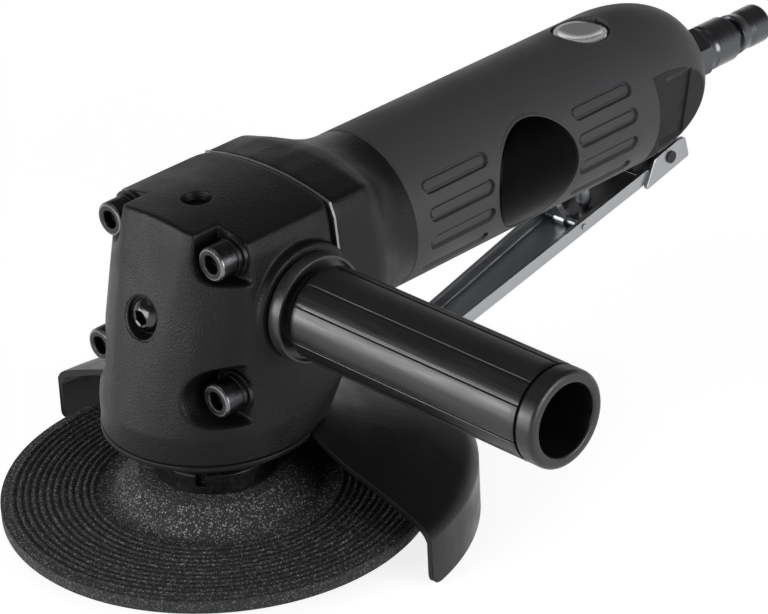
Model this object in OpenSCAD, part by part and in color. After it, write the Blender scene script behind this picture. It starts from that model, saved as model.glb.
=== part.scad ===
// Air angle grinder: a vane motor lies along X, a bevel pair turns its drive down to the wheel spindle.
// Origin: centre of the spindle's end face. +X runs back to the air inlet, +Z up, the handle points to -Y.

/* [Wheel] */
// Radius of the grinding wheel
wheel_r = 62.5; // [57.5:0.5:63]
// Thickness of the grinding wheel
wheel_t = 4.4; // [3.5:0.1:5]
// Height of the depressed hub above the wheel's face
wheel_rise = 6.4; // [6:0.1:7]
// Radius of the flat top of the hub
wheel_hub_r = 23; // [22:0.5:25]
// Width of the sloping ring round the hub
wheel_slope_w = 7; // [5:0.5:9]
// Radius of the wheel's bore
wheel_bore_r = 11.12; // [11.12:0.01:11.2]
// Radius of the innermost ridge on the wheel
ridge_r = 36; // [34:0.5:38]
// Plain rim outside the outermost ridge's middle
ridge_rim = 3.4; // [2:0.1:4]
// Number of ridges
ridge_count = 12; // [6:1:12]
// Height of a ridge
ridge_h = 0.5; // [0.2:0.1:0.8]

/* [Spindle] */
// Radius of the spindle thread
thread_r = 6.95; // [6.8:0.05:7]
// Height of the inner flange
inner_flange_h = 6.7; // [6:0.1:7]
// Radius of the inner flange
inner_flange_r = 18; // [16:0.5:19]
// Radius of the flange nut
nut_r = 19; // [17:0.5:19.5]
// Radius of the shoulder that the lower bearing sits on
shoulder_r = 9.5; // [9.2:0.1:9.7]
// Radius of the spindle under the bevel gear
gear_seat_r = 7; // [6.5:0.1:7.2]
// Radius of the spindle's upper journal
journal_r = 5; // [4.5:0.1:5.5]

/* [Bevel gears] */
// Teeth on the bevel gear
gear_teeth = 27; // [25:2:29]
// Teeth on the pinion
pinion_teeth = 13; // [12:1:13]
// Size of a tooth at its large end
gear_module = 1.5; // [1.4:0.05:1.5]
// Length of a tooth towards the cone's tip
tooth_face = 6.5; // [5:0.5:7]
// Play between meshing teeth, taken off each tooth
backlash = 0.34; // [0.25:0.01:0.5]

/* [Motor] */
// Height of the motor axis
motor_z = 68; // [67.5:0.1:68.5]
// Radius of the rotor
rotor_r = 13.4; // [13:0.1:13.5]
// Number of vanes
vane_count = 5; // [4:1:6]
// Thickness of a vane
vane_t = 2.1; // [1.8:0.1:2.4]
// Length of the motor cylinder
cylinder_l = 64; // [60:1:64]
// Bore radius of the motor cylinder
cylinder_bore_r = 15.6; // [15.5:0.1:15.8]
// Distance that the cylinder's bore stands above the rotor
bore_offset = 1.9; // [1.8:0.1:1.9]
// Thickness of the front and rear end plates
plate_t = 8; // [7:0.5:8]

/* [Gear head] */
// Lower radius of the gear head
drum_r = 31.5; // [31:0.1:32]
// Height of the head's lower face
head_z0 = 28.5; // [28.5:0.1:28.9]
// Height of the head's straight lower band
drum_h = 8; // [6:0.5:10]
// Height of the head's crowned top
head_top = 95.6; // [95:0.1:96]
// Crown radius of the top
crown_r = 98; // [90:1:110]
// Distance from the spindle to the joint face
joint_x = 26.05; // [26:0.05:26.4]
// Distance from the spindle to the nose at its top
nose_x = 15; // [14:0.5:16]
// Half width of the nose between the screw pockets
nose_w = 14.7; // [14:0.1:15]
// Thickness of the joint gasket
gasket_t = 0.8; // [0.5:0.1:1]

/* [Housing and grip] */
// Radius of the grip
grip_r = 24.7; // [24.5:0.1:26]
// Wall of the grip sleeve
grip_wall = 1.65; // [1.5:0.05:2]
// Start of the grip sleeve
grip_x0 = 60; // [58:0.5:62]
// Start of the grip's rounded rear end
dome_x = 168; // [166:0.5:170]
// End of the grip
grip_x1 = 196.3; // [195:0.1:198]
// Depth of the grip's slots
slot_depth = 0.9; // [0.5:0.1:1]
// Width of the grip's slots
slot_w = 4.8; // [4:0.1:5.2]
// Radius of the side badges
badge_r = 17; // [15:0.5:17]
// Centre of the side badges along the grip
badge_x = 110.7; // [110:0.1:111]
// Height of the air inlet's axis
inlet_z = 66; // [65.5:0.1:67]

/* [Throttle] */
// Distance from the spindle to the valve
valve_x = 156; // [155.5:0.1:156.5]
// Radius of the valve's bore
valve_bore_r = 8; // [7.8:0.1:8.2]
// Radius of the valve's stem
stem_r = 2.5; // [2.3:0.1:2.6]
// Pivot of the lever along the grip
pivot_x = 184.3; // [184:0.1:185]
// Height of the lever's pivot
pivot_z = 42.2; // [42:0.1:42.6]
// Angle that the lever hangs down at rest
lever_angle = 13.4; // [13:0.1:14]
// Distance from the pivot to the lever's tip
lever_l = 101; // [90:1:104]
// Sheet thickness of the lever
lever_t = 1.5; // [1.2:0.1:1.8]
// Height of the lever's side flanges
lever_flange_h = 4; // [3.5:0.1:4.5]

/* [Guard] */
// Outer radius of the guard's skirt
guard_r = 75; // [74.5:0.1:77]
// Sheet thickness of the guard
guard_t = 1.6; // [1.2:0.1:2]
// Thickness of the guard's mounting ring
guard_ring_t = 1.9; // [1.8:0.1:2.1]
// Lowest edge of the guard's skirt
guard_z0 = -6; // [-8:0.5:-4]
// Distance of the guard's straight edge from the spindle
guard_edge_x = 8; // [6:0.5:12]
// Angle that the guard is turned on its collar
guard_turn = 3.2; // [0:0.1:6]

/* [Side handle] */
// Distance from the spindle to the handle's axis
handle_x = 11.6; // [11.6:0.1:11.6]
// Radius of the handle
handle_r = 13.9; // [13:0.1:15]
// Bore radius of the handle
handle_bore_r = 10.3; // [9:0.1:11]
// Distance from the spindle axis to the handle's end
handle_end = 127; // [115:1:135]
// Number of wide lands round the handle, each with a narrow one beside it
handle_lands = 5; // [4:1:6]
// Depth of the grooves between the lands
land_groove = 0.6; // [0.3:0.1:0.8]
// Width of the handle's end ring
end_ring_w = 5.4; // [4:0.2:8]
// Width of the groove before the end ring
end_groove_w = 0.9; // [0.6:0.1:1.4]

/* [Fits] */
// Radial clearance of running fits
run_fit = 0.05; // [0.03:0.01:0.08]
// Gap between parts that move past each other
move_gap = 0.3; // [0.2:0.05:0.4]

/* [Hidden] */
$fn = 64;

// Colours
black_paint = "#2b2b2d";
black_plastic = "#1d1d1f";
black_rubber = "#353537";
bare_steel = "#b9bcc0";
dark_steel = "#57595c";
bronze = "#b98d4f";

// Wheel, its flanges and the spindle, from the work upwards
wheel_top = wheel_rise + wheel_t;
ridge_pitch = (wheel_r - ridge_rim - ridge_r) / (ridge_count - 1);
wheel_bush_r = wheel_bore_r + 1.9;
flange_z = wheel_top;
flange_top = flange_z + inner_flange_h;
pilot_z = wheel_rise + 0.6;
nut_top = wheel_rise - 0.02;
nut_z = 0.6;
pin_hole_r = 2.5;
pin_circle_r = 15;
notch_w = 3;
notch_d = 4;

// Bearings: bore radius, outer radius, width, ball circle radius, ball radius
spindle_bearing = [7.5, 17.5, 11, 12.5, 2.95];
front_bearing = [6, 14, 8, 10.1, 2.3];
rear_bearing = [5, 13, 8, 9, 2.2];
race_gap = 0.06;
shield_gap = 1.1;

// Lower bearing and its cap
bearing_z = head_z0 + 1.5;
bearing_top = bearing_z + spindle_bearing[2];
spigot_r = 24;
cap_r = 29;
cap_flange_t = 2.15;
cap_z = head_z0 - guard_ring_t - 2 * run_fit - cap_flange_t;
cap_neck_z = flange_top + 1.2;
cap_neck_r = 15.5;
cap_bore_r = 10.4;
seal_r = 14.2;
seal_z0 = cap_neck_z + 2.2;
seal_z1 = seal_z0 + 6;
cap_screw_circle = 21;
cap_screw_r = 2;

// Bevel pair on one cone centre, where the spindle and motor axes cross
gear_r = gear_module * gear_teeth / 2;
pinion_r = gear_module * pinion_teeth / 2;
gear_cone = atan2(gear_teeth, pinion_teeth);
pinion_cone = 90 - gear_cone;
cone_l = gear_r / sin(gear_cone);
inner_scale = (cone_l - tooth_face) / cone_l;
pressure_angle = 20;
gear_hub_r = 11;
gear_hub_z = bearing_top + 0.1;
gear_hub_top = motor_z - 6.5;
key_w = 4;
key_h = 3;
pinion_x = cone_l * cos(pinion_cone);
pinion_hub_r = 7.8;
pinion_bore_r = 4.5;

// Head castings and the joint face
housing_x = joint_x + gasket_t;
nose_slope = 0.279;
side_top_w = 25.3;
side_mid_w = 27;
side_mid_z = 88;
flange_low_w = 31;
flange_low_z = 38.5;
flange_corner_r = 9;
flange_sag = 0.12;
head_wall_z = 37.9;
gear_room_r = 21.8;
gear_room_z = 55.6;
spindle_room_r = 10.5;
pinion_room_r = 14.2;
grease_r = 4;
needle_z = 80;
needle_r = 7;
needle_top = 89.6;
boss_r = 18;
boss_y = 30.3;
stud_r = 5;
stud_in = 15.6;
collar_r = 15.8;
collar_t = 4.6;
collar_lip = 0.9;
collar_recess = 1.6;
land_start = 3.5;
land_narrow = 0.375;

// Joint screws: upper and lower pair, [distance from the middle, height, seat]
upper_screw = [20.8, 87.6, -5.8];
lower_screw = [24.2, 48.5, -10.5];
screw_r = 3;
screw_head_r = 5;
screw_head_h = 6;
screw_hole_r = 3.3;
screw_reach = 13;
washer_r = 6;
washer_t = 1.2;
spring_washer_r = 5.2;
spring_washer_t = 1.5;
pocket_r = 6.8;
scoop_r = 8.3;
button_r = 5.2;
button_h = 3.2;
button_z = 67.5;
button_seat_x = -20.9;
button_recess_r = 5.9;

// Motor stack inside the housing
front_bearing_x = housing_x + 1.3;
front_plate_x = front_bearing_x + front_bearing[2];
cylinder_x = front_plate_x + plate_t;
rear_plate_x = cylinder_x + cylinder_l;
rear_bearing_x = rear_plate_x + plate_t - 2;
motor_end = rear_bearing_x + rear_bearing[2];
stack_r = 21.3;
cup_r = 17;
end_gap = 0.15;
dowel_r = 1.5;
dowel_drop = 17.6;
vane_slot = 0.1;
vane_root = 6.7;
vane_tip_gap = 0.1;

// Housing and grip
tube_r = grip_r - grip_wall - 0.05;
stack_bore_r = stack_r + 0.05;
tube_end = 163;
core_r = 15.5;
core_end = 192;
grip_bore = tube_r + 0.05;
dome_r = 11.6;
slot_angles = [29.5, 9.5, -12, -34];
slot_front = [66, 92.4];
slot_rear = [128.9, 154.5];
badge_floor = grip_r - 1;
badge_proud = 0.2;
pad_x = 164;
pad_tilt = 10;
pad_dist = 19.4;
pad_recess = 0.6;

// Throttle valve
plug_r = 8.5;
plug_z = 88.4;
plug_top = 91.4;
plug_dish_r = 16;
plug_low = 77;
ring_z = 83;
seat_z = 57;
seat_t = 5.4;
seat_bore_r = 4.6;
valve_z = seat_z + seat_t + 0.9;
valve_head_r = 6.2;
valve_head_h = 3;
spring_r = 4.4;
spring_wire_r = 0.55;
spring_turns = 6;
bush_r = 4.5;
bush_z0 = 44.8;
bush_z1 = 52;
duct_r = 2.2;
duct_z = 54.4;
inlet_r = 8.4;
inlet_x = 178;

// Lever, drawn level with its pivot at the origin and its tip towards -X
web_drop = 4.7;
ear_x = 12.4;
ear_back = 8;
ear_out = 10.9;
ear_in = ear_out - lever_t;
lug_w = ear_in - move_gap;
lug_r = 4.2;
lug_front = 14;
pin_r = 2;
channel_back = -9.5;
channel_w = 9.7;
lug_front_w = channel_w - lever_t - move_gap;
tip_w = 6.9;
latch_x = 39;
latch_z = -1.4;
latch_arm = 10.8;
latch_lean = 16.6;
latch_t = 4;
latch_hub_r = 2.2;
latch_pin_r = 1;

// Guard section, radius and height of the outer skin
guard_ring_r = drum_r + 0.35;
guard_bore_r = spigot_r + run_fit;
guard_ring_z = head_z0 - run_fit - guard_ring_t;
guard_root = [guard_ring_r + 0.5, guard_ring_z + 1.6];
guard_shoulder_z = 9.4;

// Guard curve from its root by the ring, [0, 0], to the shoulder of the skirt, [1, 1]
guard_curve = [[0, 0], [0.109, 0.147], [0.273, 0.312], [0.461, 0.44], [0.648, 0.573],
  [0.812, 0.712], [0.939, 0.829], [0.979, 0.893], [1, 1]];

// Points of an arc, from angle a0 to a1 in n steps
function arc(c, r, a0, a1, n) =
  [for (i = [0:n]) let (a = a0 + (a1 - a0) * i / n) [c[0] + r * cos(a), c[1] + r * sin(a)]];

// Height of the crowned top at a distance from the middle
function crown(y) = head_top - crown_r + sqrt(crown_r * crown_r - y * y);

// One side of the joint section as [y, z], from below the middle up to the crown
function side_points() = concat(
  [[11, flange_low_z - 0.75 * flange_sag]],
  arc([flange_low_w - flange_corner_r, flange_low_z + flange_corner_r], flange_corner_r, -90, 0, 6),
  [for (i = [1:4]) let (k = i / 5, z0 = flange_low_z + flange_corner_r)
    [flange_low_w + (side_mid_w - flange_low_w) * k, z0 + (side_mid_z - z0) * k]],
  [[side_mid_w, side_mid_z]],
  [for (y = [side_top_w, 17, 8.5]) [y, crown(y)]]
);

// Whole joint section, closed
function joint_section() = let (s = side_points(), n = len(s)) concat(
  [[0, flange_low_z - flange_sag]], s, [[0, head_top]],
  [for (i = [n - 1:-1:0]) [-s[i][0], s[i][1]]]
);

// Joint section drawn in to a circle round the motor axis, f from 0 to 1
function blend_section(f, r) = [for (p = joint_section())
  let (d = norm([p[0], p[1] - motor_z]))
  [p[0] * (1 - f + f * r / d), motor_z + (p[1] - motor_z) * (1 - f + f * r / d)]];

// Involute tooth flanks of a bevel gear on its back cone, as [slant, angle] of one side
function rad(a) = a * PI / 180;
function inv_angle(rb, r) = r <= rb ? 0 : let (a = acos(rb / r)) tan(a) - rad(a);
function half_tooth(nv, rv, rb, r) =
  PI / (2 * nv) - backlash / (2 * rv) + inv_angle(rb, rv) - inv_angle(rb, r);

// Outline of one bevel tooth about angle zero, as [slant on the back cone, turn about the axis]
function tooth_outline(teeth, cone) = let (
    rv = gear_module * teeth / 2 / cos(cone),
    nv = teeth / cos(cone),
    rb = rv * cos(pressure_angle),
    tip = rv + 0.95 * gear_module,
    root = rv - 1.25 * gear_module,
    slants = [root, max(root + 0.1, rb), rv, (rv + tip) / 2, tip],
    side = [for (s = slants) [s, half_tooth(nv, rv, rb, s) * 180 / PI / cos(cone)]]
  ) concat([for (p = side) [p[0], -p[1]]], [for (i = [4:-1:0]) side[i]]);

// Whole outline of a bevel gear's large end, in space, with its cone centre at the origin
function gear_outline(teeth, cone, turn) = let (
    one = tooth_outline(teeth, cone),
    back = gear_module * teeth / 2 / sin(cone) / cos(cone)
  ) [for (k = [0:teeth - 1]) for (p = one)
      let (a = p[1] + 360 * k / teeth + turn)
      [p[0] * cos(cone) * cos(a), p[0] * cos(cone) * sin(a), back - p[0] * sin(cone)]];

// Faces of a tube through rings of n points, open or closed in itself
function skin(rings, n) = [for (j = [0:rings - 2]) for (i = [0:n - 1])
  let (a = j * n + i, b = j * n + (i + 1) % n) each [[a, b, a + n], [b, b + n, a + n]]];
function reversed(faces) = [for (f = faces) [for (i = [len(f) - 1:-1:0]) f[i]]];
function end_face(first, n, flip) = [[for (i = [0:n - 1]) flip ? first + n - 1 - i : first + i]];

// Toothed ring of a bevel gear, from its large end to its small end, round a hollow core
module bevel_teeth(teeth, cone, turn, core_r0, back_z, front_z) {
  big = gear_outline(teeth, cone, turn);
  n = len(big);
  small = [for (p = big) p * inner_scale];
  front = [for (p = small) let (k = core_r0 / norm([p[0], p[1]])) [p[0] * k, p[1] * k, front_z]];
  back = [for (p = big) let (k = core_r0 / norm([p[0], p[1]])) [p[0] * k, p[1] * k, back_z]];
  faces = [for (f = skin(5, n)) [for (v = f) v >= 4 * n ? v - 4 * n : v]];
  polyhedron(concat(back, big, small, front), faces);
}

// Helical wire of round section: radius, pitch, turns, wire radius, along Z
module coil(r, pitch, turns, wire, rings_per_turn) {
  sides = 6;
  count = turns * rings_per_turn;
  path = [for (i = [0:count]) let (a = 360 * i / rings_per_turn)
    [r * cos(a), r * sin(a), pitch * i / rings_per_turn]];
  climb = atan2(pitch, 2 * PI * r);
  points = [for (i = [0:count]) let (a = 360 * i / rings_per_turn) for (k = [0:sides - 1])
    let (b = 360 * k / sides, u = wire * cos(b), w = wire * sin(b))
    path[i] + [u * cos(a) + w * sin(climb) * sin(a), u * sin(a) - w * sin(climb) * cos(a), w * cos(climb)]];
  last = count * sides;
  faces = concat(skin(count + 1, sides), end_face(0, sides, true), end_face(last, sides, false));
  polyhedron(points, reversed(faces));
}

// Placing helpers
module along_x(x, y = 0, z = motor_z) {
  translate([x, y, z]) rotate([0, 90, 0]) children();
}
module along_y(x, y, z) {
  translate([x, y, z]) rotate([-90, 0, 0]) children();
}
module both_sides() {
  for (s = [-1, 1]) scale([1, s, 1]) children();
}
module ring(r_in, r_out, h) {
  difference() {
    cylinder(r = r_out, h = h);
    translate([0, 0, -1]) cylinder(r = r_in, h = h + 2);
  }
}
module hexagon(across, h) {
  cylinder(r = across / sqrt(3), h = h, $fn = 6);
}

// Bearing rings with grooved races, and the balls between them
module outer_race(b) {
  rotate_extrude() difference() {
    translate([b[3] + shield_gap, 0]) square([b[1] - b[3] - shield_gap, b[2]]);
    translate([b[3], b[2] / 2]) circle(b[4] + race_gap);
  }
}
module inner_race(b) {
  rotate_extrude() difference() {
    translate([b[0], 0]) square([b[3] - shield_gap - b[0], b[2]]);
    translate([b[3], b[2] / 2]) circle(b[4] + race_gap);
  }
}
module race_balls(b, count) {
  for (i = [0:count - 1]) rotate(360 * i / count)
    translate([b[3], 0, b[2] / 2]) sphere(b[4], $fn = 24);
}

// The four joint screws: places each child at the upper and lower seats of both sides
module at_screws(dx) {
  for (p = [upper_screw, lower_screw]) for (s = [-1, 1])
    along_x(p[2] + dx, s * p[0], p[1]) children();
}

// Gear head casting
module head_plan(x_front, w) {
  polygon([[x_front, -12], [x_front, 12], [x_front + 1.2, nose_w], [upper_screw[2] - 1, w],
    [joint_x, w], [joint_x, -w], [upper_screw[2] - 1, -w], [x_front + 1.2, -nose_w]]);
}
module head_form() {
  front = function(z) -nose_x - nose_slope * (head_top - z);
  intersection() {
    hull() {
      translate([0, 0, head_z0]) cylinder(r = drum_r, h = drum_h);
      translate([0, 0, side_mid_z]) linear_extrude(0.1) head_plan(front(side_mid_z), side_mid_w);
      translate([0, 0, crown(side_top_w)])
        linear_extrude(head_top - crown(side_top_w)) head_plan(front(head_top), side_top_w);
      translate([joint_x - 1, 0, 0]) rotate([90, 0, 90]) linear_extrude(1) polygon(joint_section());
    }
    along_x(-50, 0, head_top - crown_r) cylinder(r = crown_r, h = 100, $fn = 180);
  }
}
module head_pockets() {
  reach = 60;
  both_sides() {
    translate([upper_screw[2] - reach, 0, 0]) {
      translate([0, nose_w, upper_screw[1]]) cube([reach, 40, 20]);
      translate([0, upper_screw[0], upper_screw[1] - pocket_r]) cube([reach, 40, 20]);
      translate([0, nose_w + pocket_r, upper_screw[1]]) rotate([0, 90, 0])
        cylinder(r = pocket_r, h = reach);
    }
    along_x(lower_screw[2] - reach, lower_screw[0], lower_screw[1]) cylinder(r = scoop_r, h = reach);
  }
}
module head_rooms() {
  translate([0, 0, head_z0 - 1]) cylinder(r = spindle_bearing[1], h = bearing_top - head_z0 + 1);
  translate([0, 0, bearing_top - 1]) cylinder(r = spindle_room_r + 3, h = 11);
  translate([0, 0, bearing_top + 9]) cylinder(r1 = spindle_room_r + 3, r2 = gear_room_r,
    h = gear_room_z - bearing_top - 9);
  translate([0, 0, gear_room_z - 0.01]) cylinder(r = gear_room_r, h = 5);
  translate([0, 0, gear_room_z + 4.98]) cylinder(r1 = gear_room_r, r2 = spindle_room_r, h = 9);
  translate([0, 0, 60]) cylinder(r = spindle_room_r, h = needle_z - 60);
  translate([0, 0, needle_z - 1]) cylinder(r = needle_r, h = needle_top - needle_z + 1);
  translate([0, 0, needle_top - 1]) cylinder(r = grease_r, h = 10);
  translate([0, 0, crown(0) - 0.9]) cylinder(r1 = grease_r, r2 = grease_r + 1.2, h = 1.2);
  along_x(0) cylinder(r = pinion_room_r, h = joint_x + 1);
}
module gear_head() {
  color(black_paint) difference() {
    union() {
      difference() {
        union() {
          head_form();
          intersection() {
            along_y(handle_x, -boss_y, motor_z) cylinder(r = boss_r, h = 2 * boss_y);
            translate([-40, -40, 0]) cube([40 + joint_x, 80, 200]);
          }
        }
        translate([joint_x, -50, head_wall_z]) cube([20, 100, 80]);
      }
    }
    head_pockets();
    head_rooms();
    at_screws(-1) cylinder(r = screw_hole_r, h = 60);
    along_x(button_seat_x - 20, 0, button_z) cylinder(r = button_recess_r, h = 20);
    along_x(button_seat_x - 1, 0, button_z) cylinder(r = screw_r, h = 7);
    along_y(handle_x, -boss_y - 1, motor_z) cylinder(r = stud_r, h = boss_y + 1 - stud_in);
    along_y(handle_x, stud_in, motor_z) cylinder(r = stud_r, h = boss_y);
    for (i = [0:3]) rotate(45 + 90 * i) translate([cap_screw_circle, 0, head_z0 - 1])
      cylinder(r = cap_screw_r, h = 9);
  }
}
module grease_plug() {
  color(dark_steel) translate([0, 0, needle_top + 1]) difference() {
    cylinder(r = grease_r, h = 2.6);
    translate([0, 0, 1]) hexagon(4, 3);
  }
}
module front_button_screw() {
  bulge_r = (button_r * button_r + button_h * button_h) / (2 * button_h);
  color(dark_steel) along_x(button_seat_x, 0, button_z) difference() {
    union() {
      rotate_extrude() intersection() {
        translate([0, -button_h]) square([button_r, button_h]);
        translate([0, bulge_r - button_h]) circle(bulge_r, $fn = 96);
      }
      cylinder(r = screw_r, h = 6);
    }
    translate([0, 0, -button_h - 1]) hexagon(4, 3);
  }
}
module head_cap_screws() {
  head_dx = -washer_t - spring_washer_t - screw_head_h;
  color(dark_steel) for (p = [upper_screw, lower_screw]) for (s = [-1, 1])
    along_x(p[2] + head_dx, s * p[0], p[1]) difference() {
      union() {
        rotate_extrude() polygon([[0, 0], [screw_head_r - 0.5, 0], [screw_head_r, 0.5],
          [screw_head_r, screw_head_h], [0, screw_head_h]]);
        cylinder(r = screw_r, h = housing_x + screw_reach - p[2] - head_dx);
      }
      translate([0, 0, -1]) hexagon(5, 4);
    }
}
module head_spring_washers() {
  cut_w = 1;
  color(dark_steel) at_screws(-washer_t - spring_washer_t) difference() {
    ring(screw_hole_r, spring_washer_r, spring_washer_t);
    rotate(60) translate([0, -cut_w / 2, -1]) cube([10, cut_w, 5]);
  }
}
module head_washers() {
  color(dark_steel) at_screws(-washer_t) ring(screw_hole_r, washer_r, washer_t);
}
module head_gasket() {
  color(bare_steel) difference() {
    translate([joint_x, 0, 0]) rotate([90, 0, 90]) linear_extrude(gasket_t) polygon(joint_section());
    along_x(joint_x - 1) cylinder(r = cup_r + 2, h = 4);
    at_screws(0) cylinder(r = screw_hole_r, h = 60);
  }
}

// Lower bearing, its cap and seal
module bearing_cap() {
  lip_r = 14.6;
  color(black_paint) difference() {
    rotate_extrude() polygon([
      [cap_bore_r, cap_neck_z], [cap_neck_r, cap_neck_z], [cap_neck_r, cap_z], [cap_r - 0.6, cap_z],
      [cap_r, cap_z + 0.6], [cap_r, cap_z + cap_flange_t], [spigot_r, cap_z + cap_flange_t],
      [spigot_r, head_z0], [spindle_bearing[1] - 0.05, head_z0],
      [spindle_bearing[1] - 0.05, bearing_z], [lip_r, bearing_z], [lip_r, seal_z1],
      [seal_r, seal_z1], [seal_r, seal_z0], [cap_bore_r, seal_z0]]);
    for (i = [0:3]) rotate(45 + 90 * i) translate([cap_screw_circle, 0, cap_z]) {
      translate([0, 0, -1]) cylinder(r = cap_screw_r + 0.1, h = 9);
      translate([0, 0, -0.01]) cylinder(r1 = cap_screw_r + 2.1, r2 = cap_screw_r, h = 2.1);
    }
  }
}
module bearing_cap_screws() {
  color(dark_steel) for (i = [0:3]) rotate(45 + 90 * i) translate([cap_screw_circle, 0, cap_z])
    difference() {
      union() {
        cylinder(r1 = cap_screw_r + 2, r2 = cap_screw_r, h = 2);
        cylinder(r = cap_screw_r, h = head_z0 + 7.5 - cap_z);
      }
      translate([0, 0, -1]) hexagon(2.5, 2.4);
    }
}
module spindle_seal() {
  color(black_rubber) translate([0, 0, seal_z0]) ring(shoulder_r + run_fit, seal_r, seal_z1 - seal_z0);
}
module spindle_bearing_outer() {
  color(bare_steel) translate([0, 0, bearing_z]) outer_race(spindle_bearing);
}
module spindle_bearing_inner() {
  color(bare_steel) translate([0, 0, bearing_z]) inner_race(spindle_bearing);
}
module spindle_bearing_balls() {
  color(bare_steel) translate([0, 0, bearing_z]) race_balls(spindle_bearing, 8);
}
module needle_bearing() {
  color(bare_steel) translate([0, 0, needle_z])
    ring(journal_r + run_fit, needle_r, needle_top - needle_z);
}

// Spindle and what turns with it
module spindle() {
  circlip_z = gear_hub_top + 0.05;
  color(bare_steel) difference() {
    rotate_extrude() polygon([
      [0, 0], [thread_r - 1, 0], [thread_r, 1], [thread_r, flange_top], [shoulder_r, flange_top],
      [shoulder_r, bearing_z], [spindle_bearing[0], bearing_z], [spindle_bearing[0], bearing_top],
      [gear_seat_r, bearing_top], [gear_seat_r, circlip_z], [gear_seat_r - 0.6, circlip_z],
      [gear_seat_r - 0.6, circlip_z + 1.2], [gear_seat_r, circlip_z + 1.2],
      [gear_seat_r, circlip_z + 2.2], [gear_seat_r - 1, circlip_z + 3.2],
      [gear_seat_r - 1, needle_z - 1], [journal_r, needle_z - 1], [journal_r, needle_top - 1],
      [journal_r - 0.6, needle_top - 0.4], [0, needle_top - 0.4]]);
    translate([gear_seat_r - key_h / 2, -key_w / 2, gear_hub_z + 2]) cube([key_h, key_w, 12]);
  }
}
module gear_key() {
  color(dark_steel) translate([gear_seat_r - key_h / 2, -key_w / 2, gear_hub_z + 2])
    cube([key_h, key_w, 12]);
}
module bevel_gear() {
  color(bare_steel) difference() {
    union() {
      translate([0, 0, motor_z]) mirror([0, 0, 1])
        bevel_teeth(gear_teeth, gear_cone, 180 / gear_teeth, 8, motor_z - gear_hub_z - 10, 6.8);
      translate([0, 0, gear_hub_z]) cylinder(r = gear_hub_r, h = gear_hub_top - gear_hub_z);
    }
    translate([0, 0, gear_hub_z - 1]) cylinder(r = gear_seat_r, h = 40);
    translate([gear_seat_r - key_h / 2, -key_w / 2, gear_hub_z - 1]) cube([key_h, key_w, 15]);
  }
}
module gear_retaining_ring() {
  color(dark_steel) translate([0, 0, gear_hub_top + 0.05]) difference() {
    ring(gear_seat_r - 0.6, gear_seat_r + 2, 1.2);
    translate([-20, -2, -1]) cube([20, 4, 4]);
  }
}
module inner_flange() {
  pilot_r = wheel_bore_r - 0.07;
  color(dark_steel) difference() {
    rotate_extrude() polygon([
      [thread_r, pilot_z], [pilot_r, pilot_z], [pilot_r, flange_z], [inner_flange_r - 0.5, flange_z],
      [inner_flange_r, flange_z + 0.5], [inner_flange_r, flange_top - 0.6],
      [inner_flange_r - 0.6, flange_top], [thread_r, flange_top]]);
    for (i = [0:3]) rotate(90 * i + 34) translate([inner_flange_r - 2.5, -notch_w / 2, flange_top - notch_d])
      cube([5, notch_w, notch_d + 1]);
  }
}
module grinding_wheel() {
  slope = wheel_slope_w;
  bush_r = wheel_bush_r;
  color("#4a4a4c") rotate_extrude($fn = 120) polygon(concat(
    [[bush_r, wheel_rise], [wheel_hub_r - 1.4, wheel_rise], [wheel_hub_r + slope - 1.4, 0],
      [wheel_r - 0.4, 0], [wheel_r, 0.4], [wheel_r, wheel_t - 0.3], [wheel_r - 0.3, wheel_t]],
    [for (i = [ridge_count - 1:-1:0]) let (r = ridge_r + ridge_pitch * i)
      each [[r + ridge_pitch * 0.42, wheel_t], [r, wheel_t + ridge_h], [r - ridge_pitch * 0.42, wheel_t]]],
    [[wheel_hub_r + slope, wheel_t], [wheel_hub_r, wheel_top], [bush_r, wheel_top]]));
}
module wheel_bush() {
  color(bare_steel) translate([0, 0, wheel_rise]) ring(wheel_bore_r, wheel_bush_r, wheel_t);
}
module flange_nut() {
  color(dark_steel) difference() {
    rotate_extrude() polygon([[thread_r, nut_z], [nut_r - 1, nut_z], [nut_r, nut_z + 1],
      [nut_r, nut_top], [thread_r, nut_top]]);
    for (i = [0:1]) rotate(180 * i + 20) translate([pin_circle_r, 0, -1])
      cylinder(r = pin_hole_r, h = nut_top - 0.9);
  }
}

// Motor
module pinion() {
  back_x = pinion_x + 1.4;
  color(bare_steel) along_x(0) difference() {
    union() {
      bevel_teeth(pinion_teeth, pinion_cone, 0, 5.6, back_x, pinion_x * inner_scale + 0.2);
      translate([0, 0, back_x - 0.5]) cylinder(r = pinion_hub_r, h = front_bearing_x - back_x + 0.5);
    }
    translate([0, 0, 5]) cylinder(r = pinion_bore_r, h = 40);
  }
}
module rotor() {
  body_x0 = cylinder_x + end_gap;
  body_x1 = rear_plate_x - end_gap;
  nose_x0 = pinion_x * inner_scale;
  color(bare_steel) along_x(0) difference() {
    rotate_extrude() polygon([
      [0, nose_x0], [pinion_bore_r - 0.5, nose_x0], [pinion_bore_r, nose_x0 + 0.5],
      [pinion_bore_r, front_bearing_x], [front_bearing[0], front_bearing_x],
      [front_bearing[0], body_x0], [rotor_r, body_x0], [rotor_r, body_x1],
      [rear_bearing[0], body_x1], [rear_bearing[0], motor_end], [0, motor_end]]);
    for (i = [0:vane_count - 1]) rotate(360 * i / vane_count + 18)
      translate([vane_root, -(vane_t + vane_slot) / 2, body_x0 - 1])
        cube([rotor_r, vane_t + vane_slot, body_x1 - body_x0 + 2]);
  }
}
module rotor_vanes() {
  body_x0 = cylinder_x + end_gap;
  color("#7a4a28") along_x(0) for (i = [0:vane_count - 1]) rotate(360 * i / vane_count + 18)
    translate([vane_root, -vane_t / 2, body_x0])
      cube([rotor_r - vane_tip_gap - vane_root, vane_t, cylinder_l - 2 * end_gap]);
}
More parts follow.
